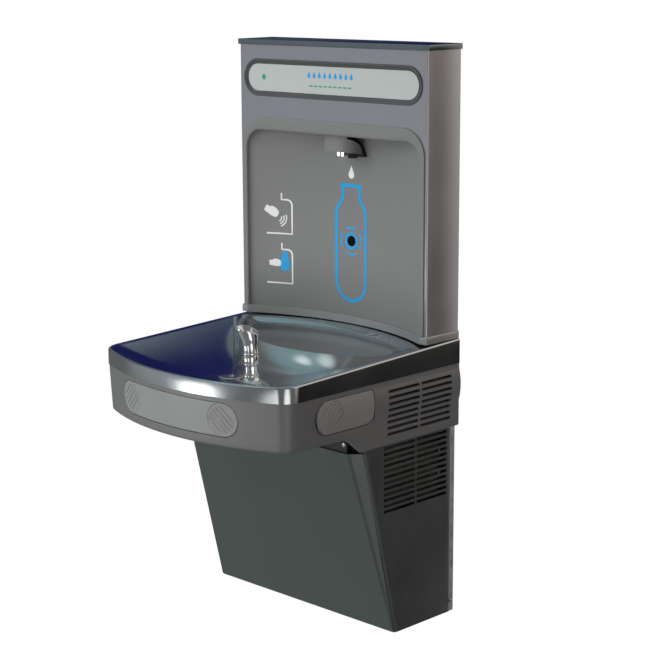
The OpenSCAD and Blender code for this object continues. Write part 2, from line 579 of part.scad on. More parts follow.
module ribs(tilt, n, w, l, h) for (i = [0:n - 1]) rotate([0, 0, tilt]) translate([-l / 2,
    (i - (n - 1) / 2) * w * 2 - w / 2, 0]) cube([l, w, h]);
module push_bar_front() color([0.5, 0.5, 0.5]) {
    difference() {
        intersection() {
            difference() {
                rod_z(front_r, bar_low - 1, bar_top + 1, 0, front_cy);
                rod_z(front_r - 1 - bar_plate, bar_low - 2, bar_top + 2, 0, front_cy);
            }
            translate([0, 0, bar_z]) along_y(-unit_d - 1, -unit_d + 40) polygon(pill(front_bar_l, bar_h));
        }
        difference() {
            for (s = [-1, 1]) intersection() {
                translate([s * (front_bar_l / 2 - 30), -unit_d + 40, bar_z]) rotate([90, 0, 0]) ribs(45, 4,
                    4, 60, 50);
                rod_y(24, -unit_d - 10, -unit_d + 40, s * (front_bar_l / 2 - 30), bar_z);
            }
            rod_z(front_r - 1, bar_low - 2, bar_top + 2, 0, front_cy);
        }
    }
    for (s = [-1, 1]) {
        rod_y(pin_r, front_bar_in - 2, bar_frame_y + bar_frame_t + 8, s * front_pin_x, bar_z);
        rod_y(8, front_bar_in - 2, front_bar_in + 4, s * front_pin_x, bar_z);
        rod_y(pin_r + 3, bar_frame_y + bar_frame_t + gap, bar_frame_y + bar_frame_t + gap + 2,
            s * front_pin_x, bar_z);
    }
    block(-6, 6, -unit_d + bar_plate, bar_frame_y - switch_l - 5, bar_z - 5, bar_z + 5);
}
module side_bar_solid() {
    in_x = housing_hw - bar_plate;
    wall_x = bar_frame_hw;
    difference() {
        intersection() {
            along_y(-side_bar_back - side_bar_l - 1, -side_bar_back + 1) polygon(belt(in_x));
            along_x(in_x - 1, half_w + 10) polygon(side_bar());
        }
        translate([housing_hw + belt_bulge - 2, -side_bar_back - side_bar_l + 32, bar_z]) rotate([90, 0, 90])
            intersection() {
                ribs(-45, 4, 4, 60, 12);
                translate([0, 0, -1]) cylinder(r = 22, h = 20);
            }
    }
    for (s = [-1, 1]) {
        rod_x(pin_r, wall_x - bar_frame_t - 8, in_x + 2, side_bar_mid + s * side_pin, bar_z);
        rod_x(8, in_x - 3, in_x + 2, side_bar_mid + s * side_pin, bar_z);
        rod_x(pin_r + 3, wall_x - bar_frame_t - gap - 2, wall_x - bar_frame_t - gap,
            side_bar_mid + s * side_pin, bar_z);
    }
    block(wall_x + switch_l, in_x + 1, side_bar_mid - 6, side_bar_mid + 6, bar_z - 5, bar_z + 5);
}
module push_bar_right() color([0.5, 0.5, 0.5]) side_bar_solid();
module push_bar_left() color([0.5, 0.5, 0.5]) mirror([1, 0, 0]) side_bar_solid();

module springs_front() color([0.75, 0.76, 0.78]) for (s = [-1, 1]) translate([s * front_pin_x,
    bar_frame_y - gap, bar_z])
    rotate([90, 0, 0]) coil_spring(6, 0.8, bar_frame_y - front_bar_in - 4 - 2 * gap, 6);
module side_springs() for (s = [-1, 1]) translate([bar_frame_hw + gap, side_bar_mid + s * side_pin, bar_z])
    rotate([0, 90, 0]) coil_spring(6, 0.8, housing_hw - bar_plate - 3 - bar_frame_hw - 2 * gap, 4);
module springs_right() color([0.75, 0.76, 0.78]) side_springs();
module springs_left() color([0.75, 0.76, 0.78]) mirror([1, 0, 0]) side_springs();

// Snap-action switches on the bar frame, each with its own plunger
plunger_r = 2;
module bar_switches() color([0.12, 0.12, 0.13]) {
    difference() {
        block(-10, 10, bar_frame_y - switch_l, bar_frame_y, bar_z - 7, bar_z + 7);
        rod_y(plunger_r + 0.1, bar_frame_y - switch_l - 1, bar_frame_y - 2, 0, bar_z);
    }
    both_sides() difference() {
        block(bar_frame_hw, bar_frame_hw + switch_l - 5, side_bar_mid - 10, side_bar_mid + 10, bar_z - 7,
            bar_z + 7);
        rod_x(plunger_r + 0.1, bar_frame_hw + 1, bar_frame_hw + switch_l, side_bar_mid, bar_z);
    }
}
module plunger_front() color([0.8, 0.1, 0.1]) rod_y(plunger_r, bar_frame_y - switch_l - 5 + gap,
    bar_frame_y - 6, 0, bar_z);
module plunger_right() color([0.8, 0.1, 0.1]) rod_x(plunger_r, bar_frame_hw + 5,
    bar_frame_hw + switch_l - gap, side_bar_mid, bar_z);
module plunger_left() color([0.8, 0.1, 0.1]) mirror([1, 0, 0])
    rod_x(plunger_r, bar_frame_hw + 5, bar_frame_hw + switch_l - gap, side_bar_mid, bar_z);

// Cabinet ----------------------------------------------------------------------------------------
side_lean = lean - 0.053;               // the corner strips widen towards the top
function cabinet_plan(z, t = 0) = let (front = front_y(z) + t * 1.04, fw = cab_hw - 3 - 0.05 * z,
    bend = 5.5 - cabinet_d - side_lean * z)
    [[cab_hw - t, t > 0 ? 1 : 0], [cab_hw - t, bend], [fw - t * 0.6, front], [t * 0.6 - fw, front],
        [t - cab_hw, bend],
        [t - cab_hw, t > 0 ? 1 : 0]];
module leaning_box(z0, z1, t) hull() for (z = [z0, z1]) translate([0, 0, z - 0.005])
    linear_extrude(0.01) polygon(cabinet_plan(z, t));
module cabinet_wrap() color([0.25, 0.27, 0.27]) difference() {
    leaning_box(0.005, cab_top, 0);
    leaning_box(-2, cab_top + 2, sheet);
    block(-half_w, half_w, -unit_d, 5.5 - cabinet_d - side_lean * panel_top - 2, panel_top, cab_top + 5);
    both_sides() louvres(12, side_z - 6.7, 10.3);
    both_sides() rod_x(2.2, cab_hw - 6, cab_hw + 6, -10, 20);
}
module bottom_pan() color([0.6, 0.61, 0.62]) {
    difference() {
        intersection() {
            linear_extrude(16) polygon(cabinet_plan(0, sheet + gap));
            block(-half_w, half_w, -cabinet_d, -1.5 - gap, -1, 17);
        }
        translate([0, 0, pan_t]) linear_extrude(16) polygon(cabinet_plan(0, 2 * sheet + gap));
        for (x = [-60:60:180]) rod_z(5, -1, 3, x, -20 - cabinet_d / 2);
    }
}

module back_frame() color([0.6, 0.61, 0.62]) difference() {
    in_x = cab_hw - sheet - gap;
    union() {
        block(-in_x, in_x, -1.5, 0, 0, cab_top);
        block(-housing_hw + housing_t + 7, housing_hw - housing_t - 7, -1.5, 0, cab_top - 1, band_z - gap);
        for (s = [-1, 1]) block(s * in_x - (s > 0 ? 1.5 : 0), s * in_x + (s < 0 ? 1.5 : 0), -18, 0, 17,
            cab_top);
        block(tank_x - tank_r, tank_x + tank_r, tank_y - 30, 0, tank_z - foam - 2, tank_z - foam - gap / 2);
        block(shroud_x, in_x, cond_front, 0, cond_low - 2, cond_low - gap / 2);
    }
    for (x = [-bolt_x, bolt_x], z = cabinet_bolts) rod_y(bolt_r, -3, 1, x, z);
    rod_y(outlet_r + 12, -3, 1, 0, outlet_z);
    rod_y(supply_r + 12, -3, 1, supply_x, supply_z);
    rod_y(13, -3, 1, cab_hw - 45, supply_z);
    for (y = line_ends) rod_z(7, cond_low - 3, cond_low + 1, cond_x + cond_w / 2, y);
}

module panel_screws() color([0.7, 0.7, 0.72]) {
    for (s = [-1, 1]) translate([s * (cab_hw - 32), apron_y - apron_t - gap / 2, panel_top + 14])
        rotate([90, 0, 0])
        rotate_extrude() polygon([[0, -8], [2, -8], [2, 0], [4.5, 0], [4, 1.8], [0, 2.4]]);
    both_sides() translate([cab_hw + gap / 2, -10, 20]) rotate([0, 90, 0])
        rotate_extrude() polygon([[0, -1], [2, -1], [2, 0], [4, 0], [3.6, 1.6], [0, 2.1]]);
}

// Refrigeration ----------------------------------------------------------------------------------
module compressor() color([0.1, 0.1, 0.11]) {
    translate([comp_x, comp_y, comp_z]) {
        difference() {
            translate([-compressor_r - 6, -compressor_r + 8, 0]) cube([2 * compressor_r + 12,
                2 * compressor_r - 16, 3]);
            for (x = [-1, 1], y = [-1, 1]) translate([x * (compressor_r - 4), y * (compressor_r - 18),
                -1]) cylinder(r = 3.2, h = 5);
        }
        translate([0, 0, 3]) rotate_extrude() polygon([[0, 0], [compressor_r * 0.72, 0],
            [compressor_r * 0.75, 6], [compressor_r, 22],
            [compressor_r, comp_h - 34], [compressor_r * 0.9, comp_h - 14], [compressor_r * 0.6,
                comp_h - 2], [0, comp_h]]);
    }
    rod_x(line_r, comp_x + compressor_r - 6, stub_x, comp_y, 120);
    rod_x(line_r, comp_x + compressor_r - 12, stub_x, comp_y + 24, 120);
}
module compressor_feet() color([0.08, 0.08, 0.08]) for (x = [-1, 1], y = [-1, 1])
    translate([comp_x + x * (compressor_r - 4), comp_y + y * (compressor_r - 18), pan_t]) difference() {
        rotate_extrude() polygon([[0, 0], [8, 0], [6, 5], [6, 9], [8, comp_z - pan_t], [0, comp_z - pan_t]]);
        translate([0, 0, -1]) cylinder(r = 3, h = 20);
    }

// Fins across a serpentine of tube
module condenser() color([0.7, 0.68, 0.64]) {
    mid = cond_x + cond_w / 2;
    for (y = [cond_front:7:cond_back]) block(cond_x, cond_x + cond_w, y, y + 0.8, cond_low, cond_top);
    rows = 6;
    pitch = (cond_top - cond_low - 30) / (rows - 1);
    for (y = line_ends) rod_z(line_r + 0.4, cond_low - 6, cond_low + 13, mid, y);
    for (i = [0:rows - 1]) rod_y(4, cond_front - 6, cond_back + 6, mid, cond_low + 15 + i * pitch);
    for (i = [0:rows - 2]) let (y = i % 2 == 0 ? cond_front - 6 : cond_back + 6)
        translate([mid, y, cond_low + 15 + (i + 0.5) * pitch]) rotate([90, 0, 90]) rotate([0, 0,
            i % 2 == 0 ? 90 : -90])
            rotate_extrude(angle = 180) translate([pitch / 2, 0]) circle(r = 4, $fn = 24);
}

module fan_shroud() color([0.13, 0.13, 0.14]) {
    difference() {
        block(shroud_x, cond_x - gap, cond_front, cond_back, cond_low, cond_top - 1);
        rod_x(fan_r + 4, shroud_x - 1, cond_x + 1, fan_y, fan_z);
    }
    for (a = [0:90:270]) translate([0, fan_y, fan_z]) rotate([a + 45, 0, 0]) {
        block(motor_x + 8, shroud_x + 3, fan_r + 6, fan_r + 9, -4, 4);
        block(motor_x + 10, motor_x + 13, motor_r + gap / 2, fan_r + 7.5, -3, 3);
    }
}
module fan_motor() color([0.35, 0.35, 0.37]) difference() {
    union() {
        rod_x(motor_r, motor_x, motor_x + 34, fan_y, fan_z);
        rod_x(9, motor_x + 34, motor_x + 38, fan_y, fan_z);
    }
    rod_x(shaft_r + 0.05, motor_x + 4, motor_x + 39, fan_y, fan_z);
}
module fan_shaft() color([0.75, 0.76, 0.78]) rod_x(shaft_r, motor_x + 5, shroud_x + 2, fan_y, fan_z);
module fan_blade() color([0.2, 0.2, 0.21]) difference() {
    union() {
        rod_x(13, shroud_x - 12, shroud_x + 1, fan_y, fan_z);
        for (a = [0:72:288]) translate([shroud_x - 5.5, fan_y, fan_z]) rotate([a, 0, 0]) rotate([0, 0, 28])
            translate([-0.7, 11, -17]) cube([1.4, fan_r - 13, 34]);
    }
    rod_x(shaft_r, shroud_x - 14, shroud_x + 3, fan_y, fan_z);
}

drier = [40, 130, -142, 188];           // the filter's two ends, its depth and its height
module filter_drier() color([0.72, 0.45, 0.3]) translate([drier[0], drier[2], drier[3]]) rotate([0, 90,
    0]) rotate_extrude()
    let (l = drier[1] - drier[0]) polygon([[0, 0], [3, 0], [9, 12], [9, l - 12], [3, l], [0, l]]);
module refrigerant_lines() color([0.72, 0.45, 0.3]) {
    mid = cond_x + cond_w / 2;
    end_z = cond_low - 6 - gap / 2;
    tube([[stub_x, comp_y, 120], [stub_x + 12, comp_y, 120], [20, comp_y - 26, 30], [mid - 46, -108, 30],
        [mid, -100, 150],
        [mid, line_ends[0], end_z - 22], [mid, line_ends[0], end_z]], line_r);
    tube([[mid, line_ends[1], end_z], [mid, line_ends[1], end_z - 14], [drier[1] + 12, drier[2], drier[3]],
        [drier[1], drier[2], drier[3]]], line_r);
    tube([[drier[0], drier[2], drier[3]], [0, drier[2], drier[3]], [stub_x + 16, tank_y - 26, 205],
        [stub_x, tank_y - 26, 205]], line_r);
    tube([[stub_x, tank_y - 20, 235], [stub_x + 14, tank_y - 20, 235], [stub_x + 14, comp_y + 14, 160],
        [stub_x + 14, comp_y + 24, 120], [stub_x, comp_y + 24, 120]], line_r);
}

// Chilled water ----------------------------------------------------------------------------------
tank_ports = [[-26, 205], [-20, 235], [0, 215], [24, 202]];  // each port's place along Y and its height
module tank() color([0.76, 0.77, 0.79]) difference() {
    union() {
        rod_z(tank_r, tank_z, tank_z + tank_h, tank_x, tank_y);
        for (p = tank_ports) rod_x(line_r, tank_x + 20, stub_x, tank_y + p[0], p[1]);
    }
    rod_z(tank_r - 2, tank_z + 2, tank_z + tank_h - 2, tank_x, tank_y);
    for (p = tank_ports) rod_x(line_r - 0.8, tank_x + 20, stub_x + 1, tank_y + p[0], p[1]);
}
module tank_insulation() color([0.85, 0.83, 0.75]) difference() {
    rod_z(tank_r + foam, tank_z - foam, tank_z + tank_h + foam, tank_x, tank_y);
    rod_z(tank_r + gap / 2, tank_z - gap / 2, tank_z + tank_h + gap / 2, tank_x, tank_y);
    for (p = tank_ports) rod_x(line_r + gap / 2, tank_x + 20, stub_x + 1, tank_y + p[0], p[1]);
}
module valve(x) difference() {
    union() {
        block(x - 14, x + 14, valve_y - 12, -1.5 - gap, valve_z - 10, valve_z + 10);
        rod_y(13, valve_y - 46, valve_y - 12, x, valve_z);
        rod_z(7, valve_z - 18, valve_z + 18, x, valve_y);
    }
    rod_y(5.1, valve_y - 40, valve_y - 4, x, valve_z);
}
module filler_valve() color([0.15, 0.15, 0.16]) valve(filler_valve_x);
module bubbler_valve() color([0.15, 0.15, 0.16]) valve(bubbler_valve_x);
module valve_plunger(x) rod_y(5, valve_y - 32, valve_y - 4 - gap, x, valve_z);
module filler_plunger() color([0.7, 0.72, 0.74]) valve_plunger(filler_valve_x);
module bubbler_plunger() color([0.7, 0.72, 0.74]) valve_plunger(bubbler_valve_x);
module water_lines() color([0.9, 0.9, 0.92]) {
    r = 4;
    tube([[supply_x, -45, supply_z], [supply_x, -66, supply_z], [24, tank_y, 120], [stub_x + 24, tank_y, 215],
        [stub_x, tank_y, 215]], r);
    tube([[stub_x, tank_y + 24, 202], [stub_x + 30, tank_y + 24, 202], [supply_x, -62, 88],
        [bubbler_valve_x, valve_y, 84],
        [bubbler_valve_x, valve_y, valve_z - 18]], r);
    tube([[bubbler_valve_x, valve_y, 84], [filler_valve_x, valve_y, 84], [filler_valve_x, valve_y,
        valve_z - 18]], r);
    tube([[bubbler_valve_x, valve_y, valve_z + 18], [bubbler_valve_x, valve_y, 350], [bubbler_x - 40, -190,
        392],
        [bubbler_x, bubbler_y, 400], [bubbler_x, bubbler_y, pad_z - boss_h - nut_h - 6]], r);
}
module supply_stub() color([0.78, 0.6, 0.35]) difference() {
    union() {
        rod_y(supply_r, -30, -0.6, supply_x, supply_z);
        translate([supply_x, -30, supply_z]) rotate([90, 0, 0]) cylinder(r = 11, h = 15, $fn = 6);
    }
    rod_y(supply_r - 0.9, -40, 0, supply_x, supply_z);
}

// Electrical -------------------------------------------------------------------------------------
module control_box() color([0.62, 0.63, 0.64]) difference() {
    block(cab_hw - 75, cab_hw - 11, -52, -1.5 - gap, 20, 110);
    block(cab_hw - 73.5, cab_hw - 12.5, -50.5, -3.5, 21.5, 108.5);
    rod_y(11.2, -4, 0, cab_hw - 45, supply_z);
}
module power_gland() color([0.1, 0.1, 0.1]) difference() {
    union() {
        rod_y(11, -12, -0.3, cab_hw - 45, supply_z);
        rod_y(14, -7, -3.5 - gap / 2, cab_hw - 45, supply_z);
    }
    rod_y(5, -13, 0, cab_hw - 45, supply_z);
}
module thermostat() color([0.25, 0.25, 0.27]) {
    block(-40, 0, -34, -1.5 - gap, 110, 160);
    rod_y(3, -44, -34, -20, 135);
    rod_y(8, -56, -44, -20, 135);
}

tower_shell();
tower_cap();
tower_back();
alcove_liner();
base_collar();
sign_frame();
sign_panel();
sign_light_board();
nozzle_cover();
nozzle_aerator();
nozzle_lights();
filler_tube();
sensor_window();
sensor_board();
basin();
bubbler_body();
bubbler_hood();
bubbler_nut();
drain_strainer();
strainer_screw();
drain_tailpiece();
drain_trap();
trap_nuts();
housing();
bar_frame();
push_bar_front();
push_bar_right();
push_bar_left();
springs_front();
springs_right();
springs_left();
bar_switches();
plunger_front();
plunger_right();
plunger_left();
cabinet_wrap();
bottom_pan();
back_frame();
panel_screws();
compressor();
compressor_feet();
condenser();
fan_shroud();
fan_motor();
fan_shaft();
fan_blade();
filter_drier();
refrigerant_lines();
tank();
tank_insulation();
filler_valve();
bubbler_valve();
filler_plunger();
bubbler_plunger();
water_lines();
supply_stub();
control_box();
power_gland();
thermostat();
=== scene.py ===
import json
import math

import bmesh
import bpy
from mathutils import Matrix, Vector


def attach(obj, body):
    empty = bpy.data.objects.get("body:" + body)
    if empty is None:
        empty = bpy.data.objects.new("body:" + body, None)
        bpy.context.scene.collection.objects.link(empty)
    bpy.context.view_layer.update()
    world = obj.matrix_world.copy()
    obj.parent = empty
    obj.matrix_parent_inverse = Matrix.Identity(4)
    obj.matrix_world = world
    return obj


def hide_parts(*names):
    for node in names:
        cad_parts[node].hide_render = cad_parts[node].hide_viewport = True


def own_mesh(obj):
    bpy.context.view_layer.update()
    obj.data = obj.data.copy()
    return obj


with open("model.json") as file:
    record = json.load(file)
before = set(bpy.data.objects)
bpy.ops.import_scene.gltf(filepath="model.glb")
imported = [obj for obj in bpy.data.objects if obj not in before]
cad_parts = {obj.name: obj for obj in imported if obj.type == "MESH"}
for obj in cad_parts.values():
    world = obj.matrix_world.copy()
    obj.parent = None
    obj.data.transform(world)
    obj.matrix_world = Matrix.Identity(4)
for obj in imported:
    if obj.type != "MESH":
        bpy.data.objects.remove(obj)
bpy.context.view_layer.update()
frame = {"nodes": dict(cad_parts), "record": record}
nodes = frame["nodes"]
mm = 0.001


# ---- camera, stage and light
camera = {"target": (0, -0.2, 0.5), "azimuth": 45.57, "elevation": 12.15, "roll": -0.553,
          "distance": 3.134, "lens": 98.06, "shift": (0.0587, 0.0257)}


def makeCamera(c):
    a, e, r = (math.radians(c[k]) for k in ("azimuth", "elevation", "roll"))
    back = Vector((math.sin(a) * math.cos(e), -math.cos(a) * math.cos(e), math.sin(e)))
    side = Vector((math.cos(a), math.sin(a), 0))
    up = back.cross(side)
    right = math.cos(r) * side + math.sin(r) * up
    up = back.cross(right)
    data = bpy.data.cameras.new("camera")
    data.lens = c["lens"]
    data.sensor_width = 36
    data.shift_x, data.shift_y = c["shift"]
    obj = bpy.data.objects.new("camera", data)
    bpy.context.scene.collection.objects.link(obj)
    place = Matrix((right, up, back)).transposed().to_4x4()
    place.translation = Vector(c["target"]) + back * c["distance"]
    obj.matrix_world = place
    bpy.context.scene.camera = obj


makeCamera(camera)
print("camera placed")

stage = {"floorZ": -0.42, "floorSize": 30, "floorColor": (1, 1, 1, 1)}
lights = {
    "keySoftbox": {"at": (-2.6, -3.2, 2.6), "aim": (0, -0.2, 0.6), "size": (2.2, 2.6), "power": 92},
    "topSoftbox": {"at": (0.2, -1.0, 3.4), "aim": (0, -0.2, 0.4), "size": (2.4, 2.0), "power": 16},
    "lowFill": {"at": (-0.3, -2.6, 0.1), "aim": (0, -0.2, 0.6), "size": (1.6, 0.6), "power": 18},
    "alcoveWash": {"at": (0.04, -0.35, 0.60), "aim": (0.06, -0.03, 0.61), "size": (0.3, 0.08), "power": 0.17},
    "rimGlint": {"at": (-0.248, -0.963, 0.337), "aim": (0.069, -0.473, 0.478), "size": (0.18, 0.13), "power": 0.19,
                 "mirrored": True},
    "rimSheen": {"at": (-0.264, -0.987, 0.331), "aim": (0.069, -0.473, 0.478), "size": (0.30, 0.14), "power": 0.12,
                 "mirrored": True},
    "rimGlow": {"at": (-0.280, -1.012, 0.324), "aim": (0.069, -0.473, 0.478), "size": (0.44, 0.15), "power": 0.06,
                "mirrored": True},
}
# how bright the studio is by direction: each patch is full inside the first angle and gone at the second
studio = {
    "base": (0.16, 0.16, 0.165),
    "warmSide": ((0.60, 0.70, 0.42), 24, 54, (0.78, 0.70, 0.65)),
    "frontLeft": ((-0.70, -0.70, 0.05), 12, 40, (0.39, 0.40, 0.43)),
    "lowLeft": ((-0.6, -0.4, -0.69), 10, 42, (0.27, 0.31, 0.30)),
    "overhead": ((-0.1, 0.1, 1.0), 12, 48, (0.32, 0.41, 0.43)),
    "bowlSky": ((-0.50, -0.62, 0.62), 14, 34, (0.27, 0.40, 0.43)),
    "bowlStreak": ((-0.45, -0.66, 0.60), 3, 9, (1.1, 1.2, 1.2)),
    "bowlShine": ((-0.15, -0.85, 0.50), 3, 10, (0.9, 1.0, 1.0)),
    "backWall": ((-0.15, 0.95, -0.28), 14, 30, (0.75, 0.72, 0.70)),
    "blueBack": ((-0.40, 0.84, 0.38), 16, 34, (0.01, 0.014, 0.10)),
    "darkSide": ((0.72, 0.66, -0.22), 9, 24, (0.015, 0.015, 0.014)),
    "cornerGlint": ((0.15, -0.96, -0.24), 7, 13, (1.2, 1.17, 1.17)),
    "cornerEdge": ((0.86, -0.46, -0.24), 8, 18, (1.5, 1.5, 1.5)),
}


def makeStage(s):
    # the camera sees a pale floor from above, and the steel mirrors the studio instead
    bpy.ops.mesh.primitive_plane_add(size=s["floorSize"], location=(0, 0, s["floorZ"]))
    floor = bpy.context.object
    floor.name = "floor"
    mat = bpy.data.materials.new("floorPaper")
    mat.use_nodes = True
    n, link = mat.node_tree.nodes, mat.node_tree.links.new
    n.clear()
    glow, clear, mix = n.new("ShaderNodeEmission"), n.new("ShaderNodeBsdfTransparent"), n.new("ShaderNodeMixShader")
    glow.inputs["Color"].default_value = s["floorColor"]
    above = n.new("ShaderNodeMath")
    above.operation = "GREATER_THAN"
    link(n.new("ShaderNodeLightPath").outputs["Is Camera Ray"], above.inputs[0])
    link(n.new("ShaderNodeNewGeometry").outputs["Backfacing"], above.inputs[1])
    link(above.outputs[0], mix.inputs[0])
    link(clear.outputs[0], mix.inputs[1])
    link(glow.outputs[0], mix.inputs[2])
    link(mix.outputs[0], n.new("ShaderNodeOutputMaterial").inputs[0])
    floor.data.materials.append(mat)


def makeLight(name, spec):
    data = bpy.data.lights.new(name, "AREA")
    data.shape = "RECTANGLE"
    data.size, data.size_y = spec["size"]
    data.energy = spec["power"]
    obj = bpy.data.objects.new(name, data)
    bpy.context.scene.collection.objects.link(obj)
    obj.location = spec["at"]
    obj.rotation_euler = (Vector(spec["aim"]) - Vector(spec["at"])).to_track_quat("-Z", "Y").to_euler()
    mirrored = spec.get("mirrored", False)
    obj.visible_glossy, obj.visible_diffuse, obj.visible_camera = mirrored, not mirrored, False


def makeWorld(patches):
    world = bpy.data.worlds.new("studio")
    bpy.context.scene.world = world
    world.use_nodes = True
    n, link = world.node_tree.nodes, world.node_tree.links.new
    n.clear()
    coord = n.new("ShaderNodeTexCoord")
    color = n.new("ShaderNodeRGB")
    color.outputs[0].default_value = (*patches["base"], 1)
    for name, patch in patches.items():
        if name == "base":
            continue
        toward, full, gone, shade = patch
        dot, share, mix = n.new("ShaderNodeVectorMath"), n.new("ShaderNodeMapRange"), n.new("ShaderNodeMix")
        dot.operation, share.interpolation_type, mix.data_type = "DOT_PRODUCT", "SMOOTHSTEP", "RGBA"
        dot.inputs[1].default_value = Vector(toward).normalized()
        share.inputs["From Min"].default_value = math.cos(math.radians(gone))
        share.inputs["From Max"].default_value = math.cos(math.radians(full))
        mix.inputs[7].default_value = (*shade, 1)
        link(coord.outputs["Generated"], dot.inputs[0])
        link(dot.outputs["Value"], share.inputs["Value"])
        link(share.outputs[0], mix.inputs[0])
        link(color.outputs[2] if color.type == "MIX" else color.outputs[0], mix.inputs[6])
        color = mix
    soft, seen = n.new("ShaderNodeBackground"), n.new("ShaderNodeBackground")
    link(color.outputs[2], soft.inputs["Color"])
    seen.inputs["Color"].default_value = (1, 1, 1, 1)
    mix, out = n.new("ShaderNodeMixShader"), n.new("ShaderNodeOutputWorld")
    link(n.new("ShaderNodeLightPath").outputs["Is Camera Ray"], mix.inputs[0])
    link(soft.outputs[0], mix.inputs[1])
    link(seen.outputs[0], mix.inputs[2])
    link(mix.outputs[0], out.inputs[0])


makeStage(stage)
makeWorld(studio)
for name, spec in lights.items():
    makeLight(name, spec)
bpy.context.scene.view_settings.view_transform = "Standard"
print("stage and lights placed")


# ---- finishes
def finish(name, color, metallic=0.0, rough=(0.4, 0.5), grain=(60, 60, 60), vary=0.08, bump=0.05,
           bumpDistance=0.0003, emission=0.0, coat=0.0, cloud=9, ior=1.45):
    mat = bpy.data.materials.new(name)
    mat.use_nodes = True
    n, link = mat.node_tree.nodes, mat.node_tree.links.new
    shader = n["Principled BSDF"]
    coord = n.new("ShaderNodeTexCoord")
    stretch = n.new("ShaderNodeMapping")
    stretch.inputs["Scale"].default_value = grain
    link(coord.outputs["Object"], stretch.inputs[0])
    fine = n.new("ShaderNodeTexNoise")
    fine.inputs["Scale"].default_value = 10
    fine.inputs["Detail"].default_value = 4
    link(stretch.outputs[0], fine.inputs["Vector"])
    wide = n.new("ShaderNodeTexNoise")
    wide.inputs["Scale"].default_value = cloud
    wide.inputs["Detail"].default_value = 3
    link(coord.outputs["Object"], wide.inputs["Vector"])
    both = n.new("ShaderNodeMath")
    both.operation = "MULTIPLY_ADD"
    both.inputs[1].default_value = 0.5
    link(fine.outputs["Fac"], both.inputs[0])
    half = n.new("ShaderNodeMath")
    half.operation = "MULTIPLY"
    half.inputs[1].default_value = 0.5
    link(wide.outputs["Fac"], half.inputs[0])
    link(half.outputs[0], both.inputs[2])
    tint = n.new("ShaderNodeValToRGB")
    low = tuple(c * (1 - vary) for c in color) + (1,)
    high = tuple(min(1, c * (1 + vary)) for c in color) + (1,)
    tint.color_ramp.elements[0].position, tint.color_ramp.elements[0].color = 0.3, low
    tint.color_ramp.elements[1].position, tint.color_ramp.elements[1].color = 0.7, high
    link(both.outputs[0], tint.inputs[0])
    link(tint.outputs[0], shader.inputs["Base Color"])
    gloss = n.new("ShaderNodeMapRange")
    gloss.inputs["From Min"].default_value, gloss.inputs["From Max"].default_value = 0.3, 0.7
    gloss.inputs["To Min"].default_value, gloss.inputs["To Max"].default_value = rough
    link(both.outputs[0], gloss.inputs["Value"])
    link(gloss.outputs[0], shader.inputs["Roughness"])
    relief = n.new("ShaderNodeBump")
    relief.inputs["Strength"].default_value = bump
    relief.inputs["Distance"].default_value = bumpDistance
    link(fine.outputs["Fac"], relief.inputs["Height"])
    link(relief.outputs[0], shader.inputs["Normal"])
    shader.inputs["Metallic"].default_value = metallic
    shader.inputs["IOR"].default_value = ior
    shader.inputs["Coat Weight"].default_value = coat
    if emission:
        shader.inputs["Emission Color"].default_value = tuple(color) + (1,)
        shader.inputs["Emission Strength"].default_value = emission
    return mat


